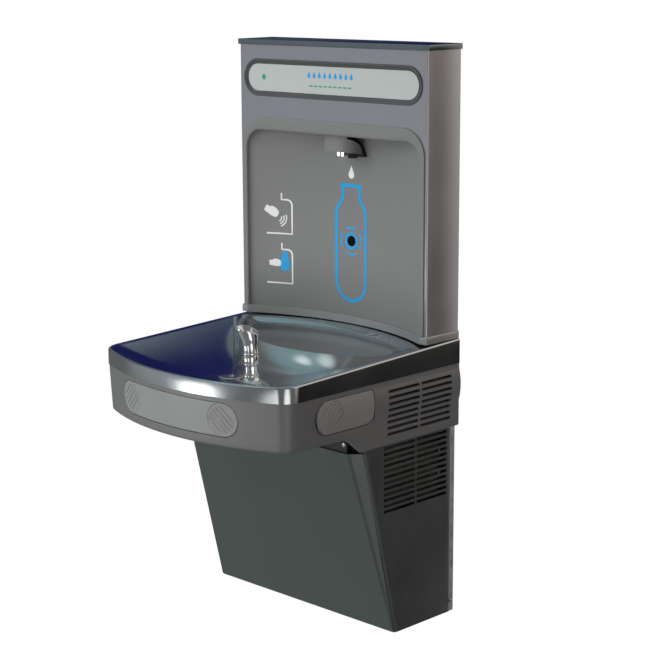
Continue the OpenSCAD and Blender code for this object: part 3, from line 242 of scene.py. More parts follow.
finishes = {
    "stainless": dict(color=(0.60, 0.60, 0.62), metallic=1.0, rough=(0.30, 0.40), grain=(2, 60, 60), vary=0.05,
                      bump=0.02),
    "galvanised": dict(color=(0.50, 0.51, 0.52), metallic=0.8, rough=(0.4, 0.6), grain=(8, 8, 8), vary=0.18,
                       cloud=40),
    "liner_plastic": dict(color=(0.205, 0.205, 0.202), rough=(0.36, 0.44), grain=(90, 90, 90), vary=0.04, bump=0.12),
    "dark_plastic": dict(color=(0.03, 0.03, 0.032), rough=(0.4, 0.5), grain=(90, 90, 90), vary=0.1, bump=0.1),
    "sign": dict(color=(0.50, 0.53, 0.51), rough=(0.14, 0.2), grain=(30, 30, 30), vary=0.02, bump=0.02, coat=0.4),
    "circuit_board": dict(color=(0.02, 0.14, 0.06), rough=(0.3, 0.4), grain=(40, 40, 40), vary=0.3),
    "black_rubber": dict(color=(0.015, 0.015, 0.015), rough=(0.55, 0.7), grain=(80, 80, 80), vary=0.2, bump=0.2),
    "lens_white": dict(color=(0.9, 0.95, 1.0), rough=(0.1, 0.15), emission=4.0, vary=0.01),
    "water_tube": dict(color=(0.7, 0.73, 0.76), rough=(0.25, 0.35), vary=0.04),
    "lens_black": dict(color=(0.004, 0.004, 0.006), rough=(0.10, 0.16), vary=0.1, bump=0.01, ior=1.18),
    # the slight teal tint in the basin steel's colour is a painted reflection of the teal the bowl's walls reflect
    "basin_steel": dict(color=(0.55, 0.58, 0.59), metallic=1.0, rough=(0.12, 0.19), grain=(2, 30, 30), vary=0.05,
                        bump=0.04),
    "chrome": dict(color=(0.78, 0.79, 0.80), metallic=1.0, rough=(0.04, 0.09), grain=(40, 40, 40), vary=0.03,
                   bump=0.01),
    "brass": dict(color=(0.58, 0.42, 0.18), metallic=1.0, rough=(0.2, 0.32), grain=(50, 50, 50), vary=0.1),
    "housing_grey": dict(color=(0.19, 0.19, 0.188), metallic=0.25, rough=(0.34, 0.44), grain=(90, 90, 90), vary=0.05,
                         bump=0.1),
    "bar_grey": dict(color=(0.265, 0.265, 0.262), rough=(0.36, 0.46), grain=(90, 90, 90), vary=0.04, bump=0.14),
    "spring_steel": dict(color=(0.6, 0.61, 0.63), metallic=1.0, rough=(0.15, 0.25), vary=0.06),
    "plunger_red": dict(color=(0.5, 0.03, 0.02), rough=(0.3, 0.4), vary=0.08),
    "cabinet_steel": dict(color=(0.19, 0.21, 0.205), metallic=0.9, rough=(0.28, 0.4), grain=(60, 60, 1.5), vary=0.07,
                          bump=0.06),
    "black_iron": dict(color=(0.02, 0.02, 0.022), rough=(0.25, 0.4), vary=0.2, bump=0.2, coat=0.3),
    "condenser_metal": dict(color=(0.55, 0.54, 0.52), metallic=1.0, rough=(0.3, 0.45), vary=0.12),
    "motor_grey": dict(color=(0.13, 0.14, 0.15), metallic=0.3, rough=(0.4, 0.5), vary=0.1),
    "copper": dict(color=(0.62, 0.30, 0.17), metallic=1.0, rough=(0.18, 0.34), vary=0.14),
    "lid_steel": dict(color=(0.25, 0.29, 0.30), metallic=1.0, rough=(0.22, 0.32), grain=(1.5, 60, 60), vary=0.06,
                      bump=0.04),
    "collar_steel": dict(color=(0.42, 0.42, 0.42), metallic=0.6, rough=(0.3, 0.4), grain=(60, 60, 60), vary=0.04,
                         bump=0.04),
    "sign_rim": dict(color=(0.12, 0.12, 0.125), metallic=0.4, rough=(0.28, 0.38), grain=(80, 80, 80), vary=0.06,
                     bump=0.05),
    "print_blue": dict(color=(0.01, 0.35, 0.75), rough=(0.35, 0.45), grain=(60, 60, 60), vary=0.04, bump=0.03),
    "print_white": dict(color=(0.85, 0.85, 0.85), rough=(0.4, 0.5), grain=(60, 60, 60), vary=0.03, bump=0.03),
    "print_green": dict(color=(0.03, 0.35, 0.16), rough=(0.35, 0.45), grain=(60, 60, 60), vary=0.04, bump=0.03),
    "foam": dict(color=(0.62, 0.57, 0.44), rough=(0.85, 0.95), grain=(30, 30, 30), vary=0.15, bump=0.5,
                 bumpDistance=0.001),
}
materials = {name: finish(name, **spec) for name, spec in finishes.items()}
slotOf = {row["node"]: row["material_slot"] for row in frame["record"]["subparts"]}
for name, obj in nodes.items():
    obj.data.materials.clear()
    obj.data.materials.append(materials[slotOf[name]])
print("finishes made")


# ---- sizes and helpers, in millimetres
unit = {"width": 467, "depth": 478, "rimZ": 507, "rimDrop": 18, "bandZ": 463, "frontR": 510, "cornerR": 38,
        "barZ": 425, "barHeight": 58}
halfW = unit["width"] / 2
frontCy = unit["frontR"] - unit["depth"]


def ring(cx, cy, r, a0, a1, n):
    turns = [math.radians(a0 + (a1 - a0) * i / n) for i in range(n + 1)]
    return [(cx + r * math.cos(a), cy + r * math.sin(a)) for a in turns]


def steps(a, b, n):
    return [a + (b - a) * i / n for i in range(n + 1)]


def ease(t):
    u = min(1, max(0, t))
    return u * u * (3 - 2 * u)


def blend(a, b, t):
    return tuple(p + (q - p) * t for p, q in zip(a, b))


def plan(inset=0, back=0, sideYs=(), corner=14, front=60):
    # the unit's outline from above, from the back right corner round the front to the back left one
    hw, rc, rf = halfW - inset, unit["cornerR"] - inset, unit["frontR"] - inset
    cx = hw - rc
    cy = frontCy - math.sqrt((rf - rc) ** 2 - cx * cx)
    turn = math.degrees(math.atan2(cy - frontCy, cx))
    right = [(hw, back)] + [(hw, y) for y in sideYs] + ring(cx, cy, rc, 0, turn, corner)
    bow = ring(0, frontCy, rf, turn, -180 - turn, front)[1:-1]
    return right + bow + [(-x, y) for x, y in reversed(right)]


def rimAt(y):
    return unit["rimZ"] + unit["rimDrop"] * y / unit["depth"]


def pill(w, h, straight=1, bends=24):
    # flat sides and round ends, with as many points above as below
    r, c = h / 2, (w - h) / 2
    right, left = ring(c, 0, r, -90, 90, bends), ring(-c, 0, r, 90, 270, bends)
    top = [(x, r) for x in steps(c, -c, straight)[1:-1]]
    return right + top + left + [(-x, -r) for x, _ in top]


def arch(hw, z0, z1, r, foot=1, bends=16, top=1):
    # an opening with a flat foot and two round upper corners, open along the foot
    right = [(hw, z) for z in steps(z0, z1 - r, foot)[:-1]] + ring(hw - r, z1 - r, r, 0, 90, bends)
    return right + [(x, z1) for x in steps(hw - r, r - hw, top)[1:-1]] + [(-x, z) for x, z in reversed(right)]


def slab(bm, outline, axis, lo, hi):
    # an outline across an axis, made solid from lo to hi
    spot = {"x": lambda p: (lo, p[0], p[1]), "y": lambda p: (p[0], lo, p[1]), "z": lambda p: (p[0], p[1], lo)}[axis]
    face = bm.faces.new([bm.verts.new(spot(p)) for p in outline])
    grown = bmesh.ops.extrude_face_region(bm, geom=[face])["geom"]
    move = Vector([hi - lo if axis == a else 0 for a in "xyz"])
    bmesh.ops.translate(bm, vec=move, verts=[g for g in grown if isinstance(g, bmesh.types.BMVert)])
    return bm


def block(bm, x, y, z, bevel=0, along=None):
    made = bmesh.ops.create_cube(bm, size=1)["verts"]
    for v in made:
        v.co = [a if c < 0 else b for c, (a, b) in zip(v.co, (x, y, z))]
    if bevel:
        edges = {e for v in made for e in v.link_edges}
        if along is not None:
            edges = {e for e in edges if abs((e.verts[0].co - e.verts[1].co)["xyz".index(along)]) > 0.001}
        bmesh.ops.bevel(bm, geom=list(edges), offset=bevel, segments=3, profile=0.5, affect="EDGES", material=-1)
    return bm


def rod(bm, r, axis, lo, hi, at, segments=32, r2=None):
    # a round bar along an axis; at holds its two other places
    turn = {"x": Matrix.Rotation(math.pi / 2, 4, "Y"), "y": Matrix.Rotation(-math.pi / 2, 4, "X"),
            "z": Matrix()}[axis]
    mid = list(at)
    mid.insert("xyz".index(axis), (lo + hi) / 2)
    bmesh.ops.create_cone(bm, cap_ends=True, segments=segments, radius1=r, radius2=r if r2 is None else r2,
                          depth=hi - lo, matrix=Matrix.Translation(mid) @ turn)
    return bm


def lathe(bm, profile, at, segments=64):
    # a profile of (radius, height) turned about a vertical axis
    verts = [bm.verts.new((at[0] + r, at[1], at[2] + z)) for r, z in profile]
    edges = [bm.edges.new(pair) for pair in zip(verts, verts[1:])]
    bmesh.ops.spin(bm, geom=verts + edges, cent=at, axis=(0, 0, 1), angle=2 * math.pi, steps=segments, use_merge=True)
    return bm


def skin(bm, lines):
    # a grid laid along the lines, which all have as many points; it closes where the first line or point comes again
    count = len(lines[0])
    made = bmesh.ops.create_grid(bm, x_segments=count - 1, y_segments=len(lines) - 1, size=1)["verts"]
    made.sort(key=lambda v: (round(v.co.y, 5), round(v.co.x, 5)))
    for vert, spot in zip(made, (p for line in lines for p in line)):
        vert.co = spot
    bmesh.ops.remove_doubles(bm, verts=made, dist=0.001)
    return bm


def tidy(bm):
    bmesh.ops.remove_doubles(bm, verts=bm.verts, dist=0.001)
    bmesh.ops.recalc_face_normals(bm, faces=bm.faces)
    return bm


def together(bm, tool, operation="DIFFERENCE"):
    # cuts the tool's shape from the first one, or joins the two
    pair = []
    for shape in (bm, tool):
        mesh = bpy.data.meshes.new("work")
        tidy(shape).to_mesh(mesh)
        shape.free()
        pair.append(bpy.data.objects.new("work", mesh))
        bpy.context.scene.collection.objects.link(pair[-1])
    mod = pair[0].modifiers.new("work", "BOOLEAN")
    mod.object, mod.operation, mod.solver, mod.use_self = pair[1], operation, "EXACT", True
    result = bmesh.new()
    result.from_object(pair[0], bpy.context.evaluated_depsgraph_get())
    for obj in pair:
        mesh = obj.data
        bpy.data.objects.remove(obj)
        bpy.data.meshes.remove(mesh)
    return result


def piece(name, bm, slotName, body="unit", stands=(), bevel=0, smooth=35, tidied=True):
    if tidied:
        tidy(bm)
    bmesh.ops.scale(bm, vec=(mm, mm, mm), verts=bm.verts)
    mesh = bpy.data.meshes.new(name)
    bm.to_mesh(mesh)
    bm.free()
    mesh.materials.append(materials[slotName])
    mesh.shade_smooth()
    mesh.set_sharp_from_angle(angle=math.radians(smooth))
    obj = bpy.data.objects.new(name, mesh)
    bpy.context.scene.collection.objects.link(obj)
    if bevel:
        edge = obj.modifiers.new("edge", "BEVEL")
        edge.width, edge.segments, edge.limit_method = bevel * mm, 2, "ANGLE"
        edge.angle_limit, edge.harden_normals = math.radians(smooth), True
    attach(obj, body)
    if stands:
        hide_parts(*stands)
    return obj


def fromNode(name, body="unit", bevel=0.5, smooth=35):
    # a CAD piece with its loose triangles joined and its edges eased
    bm = bmesh.new()
    bm.from_mesh(nodes[name].data)
    bmesh.ops.scale(bm, vec=(1 / mm,) * 3, verts=bm.verts)
    bmesh.ops.remove_doubles(bm, verts=bm.verts, dist=0.002)
    bmesh.ops.dissolve_limit(bm, angle_limit=math.radians(0.3), verts=bm.verts, edges=bm.edges)
    return piece(name + "Eased", bm, slotOf[name], body, (name,), bevel, smooth)


# ---- basin
basin = {"drain": (-35, -300), "drainZ": 445, "drainR": 20, "roll": 10, "shelfDrop": 13, "ridgeY": -200,
         "ridgeCurve": 0.00175, "sheet": 1.5, "bowlRows": 24, "shelfRows": 40, "edgeR": 3.5,
         "pad": (150, -422), "padZ": 488.1, "padR": 21}
alcove = {"r": 474, "cy": -504, "halfW": 214, "top": 855, "trimHalf": 224, "trimTop": 24, "bow": 468}


def lipY(x):
    # the bowed front edge of the collar that stands on the shelf
    r = alcove["bow"]
    return alcove["cy"] + math.sqrt(r * r - min(x * x, (alcove["halfW"] - 6) ** 2))


def shelfZ(p):
    # the shelf lies lower than the rim at its sides and the collar behind it
    side = ease((halfW - basin["roll"] - abs(p[0])) / 50)
    return rimAt(p[1]) - basin["shelfDrop"] * side * ease((lipY(p[0]) - 4 - p[1]) / 16)


def ridgeShare(c, p):
    # where a line from the drain to the outline crosses the ridge between bowl and shelf
    dx, dy = p[0] - c[0], p[1] - c[1]
    k = basin["ridgeCurve"]
    a, b, d = k * dx * dx, 2 * k * c[0] * dx - dy, basin["ridgeY"] + k * c[0] ** 2 - c[1]
    if abs(a) < 0.0001:
        share = -d / b
    else:
        inside = b * b - 4 * a * d
        share = (-b - math.sqrt(inside)) / (2 * a) if inside >= 0 else 9
    return share if share > 0 else 9


def padLift(x, y, z):
    # the raised pad under the bubbler, run softly into the bowl
    away = math.hypot(x - basin["pad"][0], y - basin["pad"][1])
    pad = basin["padZ"] - 1.3 * max(0, away - basin["padR"])
    soft = 4
    gap = max(0, min(1, 0.5 + (pad - z) / (2 * soft)))
    lifted = z + (pad - z) * gap + soft * gap * (1 - gap)
    return lifted if away < basin["padR"] + 26 else z


def basinLine(i, rings):
    # a line of the sheet's surface: from the drain out over the rim, down the band and back underneath
    c, p = basin["drain"], rings[0][i]
    span = math.dist(c, p)
    dx, dy = (p[0] - c[0]) / span, (p[1] - c[1]) / span
    start = (c[0] + dx * basin["drainR"], c[1] + dy * basin["drainR"])
    rimShare = 1 - (basin["roll"] + 2) / span
    share = min(ridgeShare(c, p), rimShare)
    onRidge = ease((rimShare - share) * 4)
    edge = blend(c, p, share)
    edgeZ = shelfZ(edge) - 1.5 * (1 - onRidge)
    power = 1.7 + 2.6 * onRidge
    top = []
    for k in range(basin["bowlRows"] + 1):
        u = 1 - (1 - k / basin["bowlRows"]) ** 1.4
        q = blend(start, edge, u)
        top.append((*q, padLift(*q, basin["drainZ"] + (edgeZ - basin["drainZ"]) * u ** power)))
    last = rings[1][i]
    for k in range(1, basin["shelfRows"] + 1):
        t = k / basin["shelfRows"]
        q = blend(edge, last, t)
        rim = rimAt(q[1]) - 0.3
        z = edgeZ + (rim - edgeZ) * math.sin(math.pi * t / 2) if rimShare - share < 0.02 else min(rim, shelfZ(q))
        top.append((*q, padLift(*q, z)))
    wall = []
    for k in range(5):
        q = rings[2 + k][i]
        wall.append((*q, rimAt(q[1]) - basin["edgeR"] * (1 - math.sin(math.radians(90 - 22.5 * k)))))
    foot = [(*p, unit["bandZ"]), (*rings[7][i], unit["bandZ"])]
    under = [(*rings[7][i], wall[-1][2] - 3)] + [(x, y, z - basin["sheet"]) for x, y, z in reversed(top)]
    line = top + wall + foot + under
    return line + line[:1]


def makeBasin():
    sideYs = steps(0, -390, 80)[1:]
    r = basin["edgeR"]
    insets = [0, r + 1.5] + [r * (1 - math.cos(math.radians(90 - 22.5 * k))) for k in range(5)] + [basin["sheet"]]
    rings = []
    # every ring has the same straight back edge, which isn't rolled
    for inset in insets:
        line = plan(inset, -0.3, sideYs, 16, 90)
        rings.append(line + [(x, -0.3) for x in steps(line[-1][0], line[0][0], 110)[1:]])
    lines = [basinLine(i, rings) for i in range(len(rings[0]))]
    piece("basinSheet", skin(bmesh.new(), lines), "basin_steel", stands=("basin",), smooth=40)


makeBasin()
print("basin made")


# ---- tower
tower = {"half": 230, "depth": 86, "low": 521, "top": 1018.5, "wall": 1.2, "capLow": 1010, "capHigh": 1020,
         "capOver": 3, "collarLow": 507, "collarOver": 2, "collarFront": 3}
sign = {"z": 951, "width": 430, "height": 62}
trim = {"proud": 2.5, "edge": 0.28, "roll": 3.2, "fillet": 13}


def wallY(x):
    # the alcove's concave back wall
    return alcove["cy"] + math.sqrt(alcove["r"] ** 2 - x * x)


def raised(outline, z):
    return [(x, y + z) for x, y in outline]


def makeTower(t):
    shell = block(bmesh.new(), (-t["half"], t["half"]), (-t["depth"], 0), (t["low"], t["top"]), 2.6, "z")
    hollow = block(bmesh.new(), (t["wall"] - t["half"], t["half"] - t["wall"]), (t["wall"] - t["depth"], 5),
                   (t["low"] - 5, t["top"] - t["wall"]), 1.8, "z")
    shell = together(shell, hollow)
    mouth = slab(bmesh.new(), arch(alcove["trimHalf"] - 3, t["low"] - 2, alcove["top"] + alcove["trimTop"] - 3, 47),
                 "y", -t["depth"] - 5, -t["depth"] + 10)
    shell = together(shell, mouth)
    slot = slab(bmesh.new(), raised(pill(sign["width"], sign["height"]), sign["z"]), "y",
                -t["depth"] - 5, -t["depth"] + 10)
    piece("towerSkin", together(shell, slot), "stainless", stands=("tower_shell",))
    cap = block(bmesh.new(), (-t["half"] - t["capOver"], t["half"] + t["capOver"]), (-t["depth"] - t["capOver"], 0),
                (t["capLow"], t["capHigh"]), 1.4)
    under = block(bmesh.new(), (0.3 - t["half"], t["half"] - 0.3), (0.3 - t["depth"], 5),
                  (t["capLow"] - 5, t["capHigh"] - t["wall"]))
    piece("towerLid", together(cap, under), "lid_steel", stands=("tower_cap",))
    collar = block(bmesh.new(), (-t["half"] - t["collarOver"], t["half"] + t["collarOver"]),
                   (-t["depth"] - t["collarFront"], 0), (t["collarLow"], t["low"]), 2)
    bow = rod(bmesh.new(), alcove["bow"], "z", t["collarLow"] - 5, t["low"] + 5, (0, alcove["cy"]), 256)
    piece("collar", together(collar, bow), "collar_steel", stands=("base_collar",), bevel=0.8)


def linerLine(i, outer, inner):
    # from behind the trim, over its face and edge, back to the curved wall and along it to the foot's middle
    o, n = outer[i], inner[i]
    front, deep = -tower["depth"], wallY(n[0])
    proud, edge = trim["proud"], trim["edge"]
    heart = (0, tower["low"])
    line = [(*o, front + 0.5), (*o, front - 1.7), (*blend(o, n, 0.03), front - 2.3),
            (*blend(o, n, 0.08), front - proud)]
    line += [(*blend(o, n, t), front - proud) for t in steps(0.08, 0.72, 4)[1:]]
    for a in steps(0, 90, 5)[1:]:
        turn = math.radians(a)
        out = front - proud + trim["roll"] * (1 - math.cos(turn))
        line.append((*blend(o, n, 1 - edge + edge * math.sin(turn)), out))
    fillet = min(trim["fillet"], (deep - front - 1) * 0.75)
    line += [(*n, y) for y in steps(front + 0.7, deep - fillet, 5)[1:]]
    reach = math.dist(n, heart)
    for a in steps(0, 90, 6)[1:]:
        turn = math.radians(a)
        q = blend(n, heart, fillet * (1 - math.cos(turn)) / reach)
        line.append((*q, deep - fillet + fillet * math.sin(turn) + (wallY(q[0]) - deep) * math.sin(turn)))
    start = line[-1][:2]
    line += [(*q, wallY(q[0])) for q in (blend(start, heart, t) for t in steps(0, 1, 26)[1:])]
    return [(x, y, z) for x, z, y in line]


def makeLiner():
    counts = (24, 20, 40)
    outer = arch(alcove["trimHalf"], tower["low"], alcove["top"] + alcove["trimTop"], 50, *counts)
    inner = arch(alcove["halfW"], tower["low"], alcove["top"], 36, *counts)
    bm = skin(bmesh.new(), [linerLine(i, outer, inner) for i in range(len(outer))])
    bmesh.ops.recalc_face_normals(bm, faces=bm.faces)
    wall = min(bm.faces, key=lambda f: (f.calc_center_median() - Vector((0, wallY(0), 650))).length)
    if wall.normal.y > 0:
        bmesh.ops.reverse_faces(bm, faces=bm.faces)
    bmesh.ops.solidify(bm, geom=bm.faces, thickness=2)
    piece("alcoveLiner", bm, "liner_plastic", stands=("alcove_liner",), smooth=50, tidied=False)


def makeSign(s):
    z, front = s["z"], -tower["depth"]
    w, h = s["width"] + 6, s["height"] + 6
    profile = [(0, 0.2), (0, -1.4), (0.5, -2.2), (1.2, -2.5), (2.4, -2.5), (3.2, -2.2), (4.2, -1.2),
               (6.2, 0.6), (8.6, 1.6), (9.2, 2), (9.2, 6), (3.6, 6), (3.6, 0.2)]
    lines = []
    for inset, out in profile:
        line = [(x, front + out, z + up) for x, up in pill(w - 2 * inset, h - 2 * inset, 24, 24)]
        lines.append(line + line[:1])
    lines.append(lines[0])
    piece("signFrame", skin(bmesh.new(), lines), "sign_rim", stands=("sign_frame",))
    panel = slab(bmesh.new(), raised(pill(s["width"] - 12.6, s["height"] - 12.6), z), "y", front + 0.8, front + 3.5)
    piece("signPanel", panel, "sign", stands=("sign_panel",), bevel=0.6)


nozzle = {"middle": -2.75, "half": 36.75, "front": -75, "corner": 26, "frontLow": 825, "backLow": 820.5, "back": -38,
          "lights": (-21, -11), "lightY": -42, "spare": -3.5, "outlet": (10, -38), "outletR": 9}


def makeNozzle(n):
    # a hanging cover, round from above, whose top falls away to the back, with two lights and the outlet under it
    top = alcove["top"] + 1
    side = [(n["front"], n["frontLow"]), (n["front"], top), (n["front"] + 6, top), (n["front"] + 7, 849)]
    side += [(-60, 846), (-51, 841.5), (-45, 837.5), (-41, 832), (n["back"], 823), (n["back"], n["backLow"])]
    body = slab(bmesh.new(), side, "x", n["middle"] - n["half"], n["middle"] + n["half"])
    reach, cy = n["half"] - n["corner"], n["front"] + n["corner"]
    nose = ring(n["middle"] + reach, cy, n["corner"], 0, -90, 24)
    nose += ring(n["middle"] - reach, cy, n["corner"], -90, -180, 24)
    ends = [(n["middle"] - n["half"], 0), (n["middle"] + n["half"], 0)]
    body = together(body, slab(bmesh.new(), nose + ends, "z", n["backLow"] - 5, top + 5), "INTERSECT")
    piece("nozzleShell", body, "liner_plastic", stands=("nozzle_cover",), bevel=1.2, smooth=28)
    lights = bmesh.new()
    for x in n["lights"]:
        lathe(lights, [(0, 0), (1.6, 0.5), (2.2, 1.8), (2.2, 11), (0, 11)], (x, n["lightY"], n["backLow"] - 7), 24)
    piece("nozzleLights", lights, "lens_white", stands=("nozzle_lights",))
    x, y = n["outlet"]
    outlet = lathe(bmesh.new(), [(0, 2), (5, 2), (5, 0), (7.4, 0), (n["outletR"], 2), (n["outletR"], 14), (0, 14)],
                   (x, y, n["backLow"] - 9), 48)
    piece("nozzleOutlet", outlet, slotOf["nozzle_aerator"], stands=("nozzle_aerator",), bevel=0.4)
    # the dark body behind the cover, on the alcove's wall
    wide = [(0, 850), (9, 847.5), (20, 843), (28, 836.5), (34.5, 828), (40.5, 815)]
    under = [(9, 815), (6, 825), (-37, 825)]
    plate = slab(bmesh.new(), wide + under + [(-x, z) for x, z in wide[-2:0:-1]], "y", n["back"] - 0.5, -29)
    rod(plate, 2.6, "z", n["backLow"] - 5, n["backLow"] + 4, (n["spare"], n["lightY"]), 24)
    piece("nozzleBack", plate, slotOf["nozzle_aerator"], bevel=0.8)


makeTower(tower)
makeLiner()
makeSign(sign)
makeNozzle(nozzle)
print("tower made")


# ---- housing and push bars
housing = {"inset": 1, "wall": 3, "draft": 3, "lowR": 5, "skirtZ": 378, "sideZ": 348, "skirtBack": -288,
           "apronY": -251, "louvreBack": -23.5, "louvreFront": -188, "louvreRib": 5, "slot": 5.4, "bulge": 4,
           "apronHalf": 199, "apronLow": 334}
bars = {"front": 290, "side": 136, "sideBack": -224, "plate": 4, "edge": 1.3, "groove": 1,
        "frameY": -436, "frameX": 209.5, "pinX": 100, "pinStep": 34}


def draftShare(y):
    return ease((-y - 300) / 90)


def draftIn(y, z):
    return math.tan(math.radians(housing["draft"])) * (unit["bandZ"] - z) * draftShare(y)


def lowerEdge(y):
    rise = (housing["apronY"] - y) / (housing["apronY"] - housing["skirtBack"])
    return housing["sideZ"] + (housing["skirtZ"] - housing["sideZ"]) * min(1, max(0, rise))


def louvres(rows, top, pitch):
    h = housing
    mid, rib = (h["louvreBack"] + h["louvreFront"]) / 2, h["louvreRib"] / 2
    bm = bmesh.new()
    for side in (-1, 1):
        for i in range(rows):
            z = top - i * pitch
            for y in ((h["louvreFront"], mid - rib), (mid + rib, h["louvreBack"])):
                block(bm, sorted((side * (halfW - 22), side * (halfW + 10))), y,
                      (z - h["slot"] / 2, z + h["slot"] / 2))
    return bm


def sideBar(grow=0, n=10):
    low, top, back = unit["barZ"] - unit["barHeight"] / 2, unit["barZ"] + unit["barHeight"] / 2, bars["sideBack"]
    r = unit["barHeight"] / 2
    corner = 5
    upper = ring(back - corner, top - corner, corner + grow, 90, 0, 5)
    lower = ring(back - 20, low + 20, 20 + grow, 0, -90, n)
    nose = ring(back - bars["side"] + r, unit["barZ"], r + grow, -90, -270, 2 * n + 8)
    return upper + lower + nose


def makeHousing(h):
    sideYs = steps(0, h["apronY"], 6)[1:] + steps(h["apronY"], h["skirtBack"], 6)[1:]
    sideYs += steps(h["skirtBack"], -390, 10)[1:]
    lines = []
    outer = plan(h["inset"], 0, sideYs, 12, 60)
    normals = plan(h["inset"] + 1, 0, sideYs, 12, 60)
    for p, q in zip(outer, normals):
        n = (q[0] - p[0], q[1] - p[1])
        low, y = lowerEdge(p[1]), p[1]
        drawn = [(0, z) for z in steps(unit["bandZ"], low + h["lowR"], 8)]
        drawn += [(h["lowR"] * (1 - math.cos(a)), low + h["lowR"] * (1 - math.sin(a)))
                  for a in (math.radians(d) for d in steps(0, 90, 6)[1:])]
        drawn += [(h["lowR"] + 1, low), (h["lowR"] + 1, low + h["wall"]), (h["wall"] + 1, low + h["wall"] + 2),
                  (h["wall"] + 1, unit["bandZ"])]
        lines.append([(p[0] + n[0] * (i + draftIn(y, z)), p[1] + n[1] * (i + draftIn(y, z)), z) for i, z in drawn])
    lines = [line + line[:1] for line in lines]
    bm = skin(bmesh.new(), lines)
    bmesh.ops.holes_fill(bm, edges=[e for e in bm.edges if e.is_boundary], sides=0)
    floor = [p for p in plan(h["inset"] + h["wall"] + 5, 0, sideYs, 12, 60) if p[1] <= h["apronY"] + 0.1]
    under = slab(bmesh.new(), floor, "z", h["skirtZ"] + 0.2, h["skirtZ"] + h["wall"])
    bm = together(bm, under, "UNION")
    # painted shade: the apron gets the near-black dark plastic finish to stand for the shadow that falls on it under
    # the housing's skirt
    apron = block(bmesh.new(), (-h["apronHalf"], h["apronHalf"]), (h["apronY"] - 2.5, h["apronY"]),
                  (h["apronLow"], h["skirtZ"] + 2))
    piece("housingApronPaintedShade", apron, "dark_plastic", bevel=0.4)
    t0, half = unit["barZ"], unit["barHeight"] / 2
    face = halfW - h["inset"]
    bulge = [(face + h["bulge"] * (1 - t * t), t0 + t * half) for t in steps(-1, 1, 24)]
    belt = [(face - 5, t0 - half - 0.5)] + bulge + [(face - 5, t0 + half + 0.5)]
    for side in (1, -1):
        line = [(side * x, z) for x, z in belt]
        bm = together(bm, slab(bmesh.new(), line, "y", bars["sideBack"] + bars["groove"], 0), "UNION")
    g = bars["groove"]
    frontSlot = raised(pill(bars["front"] + 2 * g, unit["barHeight"] + 2 * g, 8), t0)
    tool = slab(bmesh.new(), frontSlot, "y", -unit["depth"] - 5, -440)
    for side in (-1, 1):
        slab(tool, sideBar(g), "x", side * (halfW - 20), side * (halfW + 20))
    bm = together(bm, tool)
    bm = together(bm, louvres(8, unit["bandZ"] - 19.4, 10.8))
    piece("housingShell", bm, "housing_grey", stands=("housing",), smooth=32)
    # painted shade: a black sheet just inside each side wall behind the louvre slots stands for the dark inside of
    # the housing seen through them
    louvreShade = bmesh.new()
    for side in (-1, 1):
        block(louvreShade, sorted((side * (halfW - 7), side * (halfW - 5.5))), (h["louvreFront"] - 4, h["louvreBack"] + 4),
              (unit["bandZ"] - 104, unit["bandZ"] - 11))
    piece("louvreShadowSheet", louvreShade, "black_rubber")


ribs = {"pitch": 8, "reach": 2.2, "deep": 1.5, "padR": 24.5}


def ribLift(u, v, tilt):
    # grooves across a round pad
    away = math.hypot(u, v)
    across = (u * math.cos(math.radians(tilt)) + v * math.sin(math.radians(tilt))) / ribs["pitch"]
    near = abs(across - math.floor(across + 0.5)) if abs(across) < ribs["reach"] else 0.5
    return -ribs["deep"] * ease((0.3 - near) / 0.14) * ease((ribs["padR"] - away) / 2)


def barSolid(bm, outline, heart, place, rows):
    # outline and heart give where the face's lines start and end; place puts a point on the bulging face
    lines = []
    count = len(outline(0))
    edge = bars["edge"]
    turns = [math.radians(a) for a in steps(0, 90, 5)]
    arcs = [(edge * (1 - math.cos(a)), -edge * (1 - math.sin(a))) for a in turns]
    rings = [(outline(-inset), out) for inset, out in [(0, -bars["plate"])] + arcs]
    for i in range(count):
        last = rings[-1][0][i]
        h = heart(last)
        line = [place(*h, -bars["plate"])] + [place(*pts[i], out) for pts, out in rings]
        line += [place(*blend(last, h, t), 0) for t in steps(0, 1, rows)[1:]]
        lines.append(line)
    lines.append(lines[0])
    return skin(bm, lines)


def makeFrontBar():
    reach = bars["front"] / 2 - unit["barHeight"] / 2

    def outline(grow):
        return raised(pill(bars["front"] + 2 * grow, unit["barHeight"] + 2 * grow, 150, 56), unit["barZ"])

    def heart(p):
        return (min(reach, max(-reach, p[0])), unit["barZ"])

    def place(x, z, out):
        lift = 0
        if out == 0:
            for side, tilt in ((-1, 45), (1, -45)):
                u = x - side * (bars["front"] / 2 - 30)
                lift += ribLift(u, z - unit["barZ"], -tilt)
                inner = -side * u
                away = math.hypot(u, z - unit["barZ"])
                lift -= 1.3 * ease(1 - abs(away - 27.3) / 1.2) * ease(inner / 6)
        y = frontCy - math.sqrt((unit["frontR"] - 0.6 + out + lift) ** 2 - x * x)
        return (x, y + draftIn(-unit["depth"], z), z)

    bm = barSolid(bmesh.new(), outline, heart, place, 26)
    for side in (-1, 1):
        at = (side * bars["pinX"], unit["barZ"])
        rod(bm, 4, "y", -463, -426, at, 24)
        rod(bm, 8, "y", -463, -459, at, 32)
        rod(bm, 7, "y", -433.7, -431.7, at, 32)
    block(bm, (-6, 6), (-472.5, -453), (unit["barZ"] - 5, unit["barZ"] + 5), 0.6)
    piece("pushBarFront", bm, "bar_grey", "front_bar", ("push_bar_front",), smooth=50)


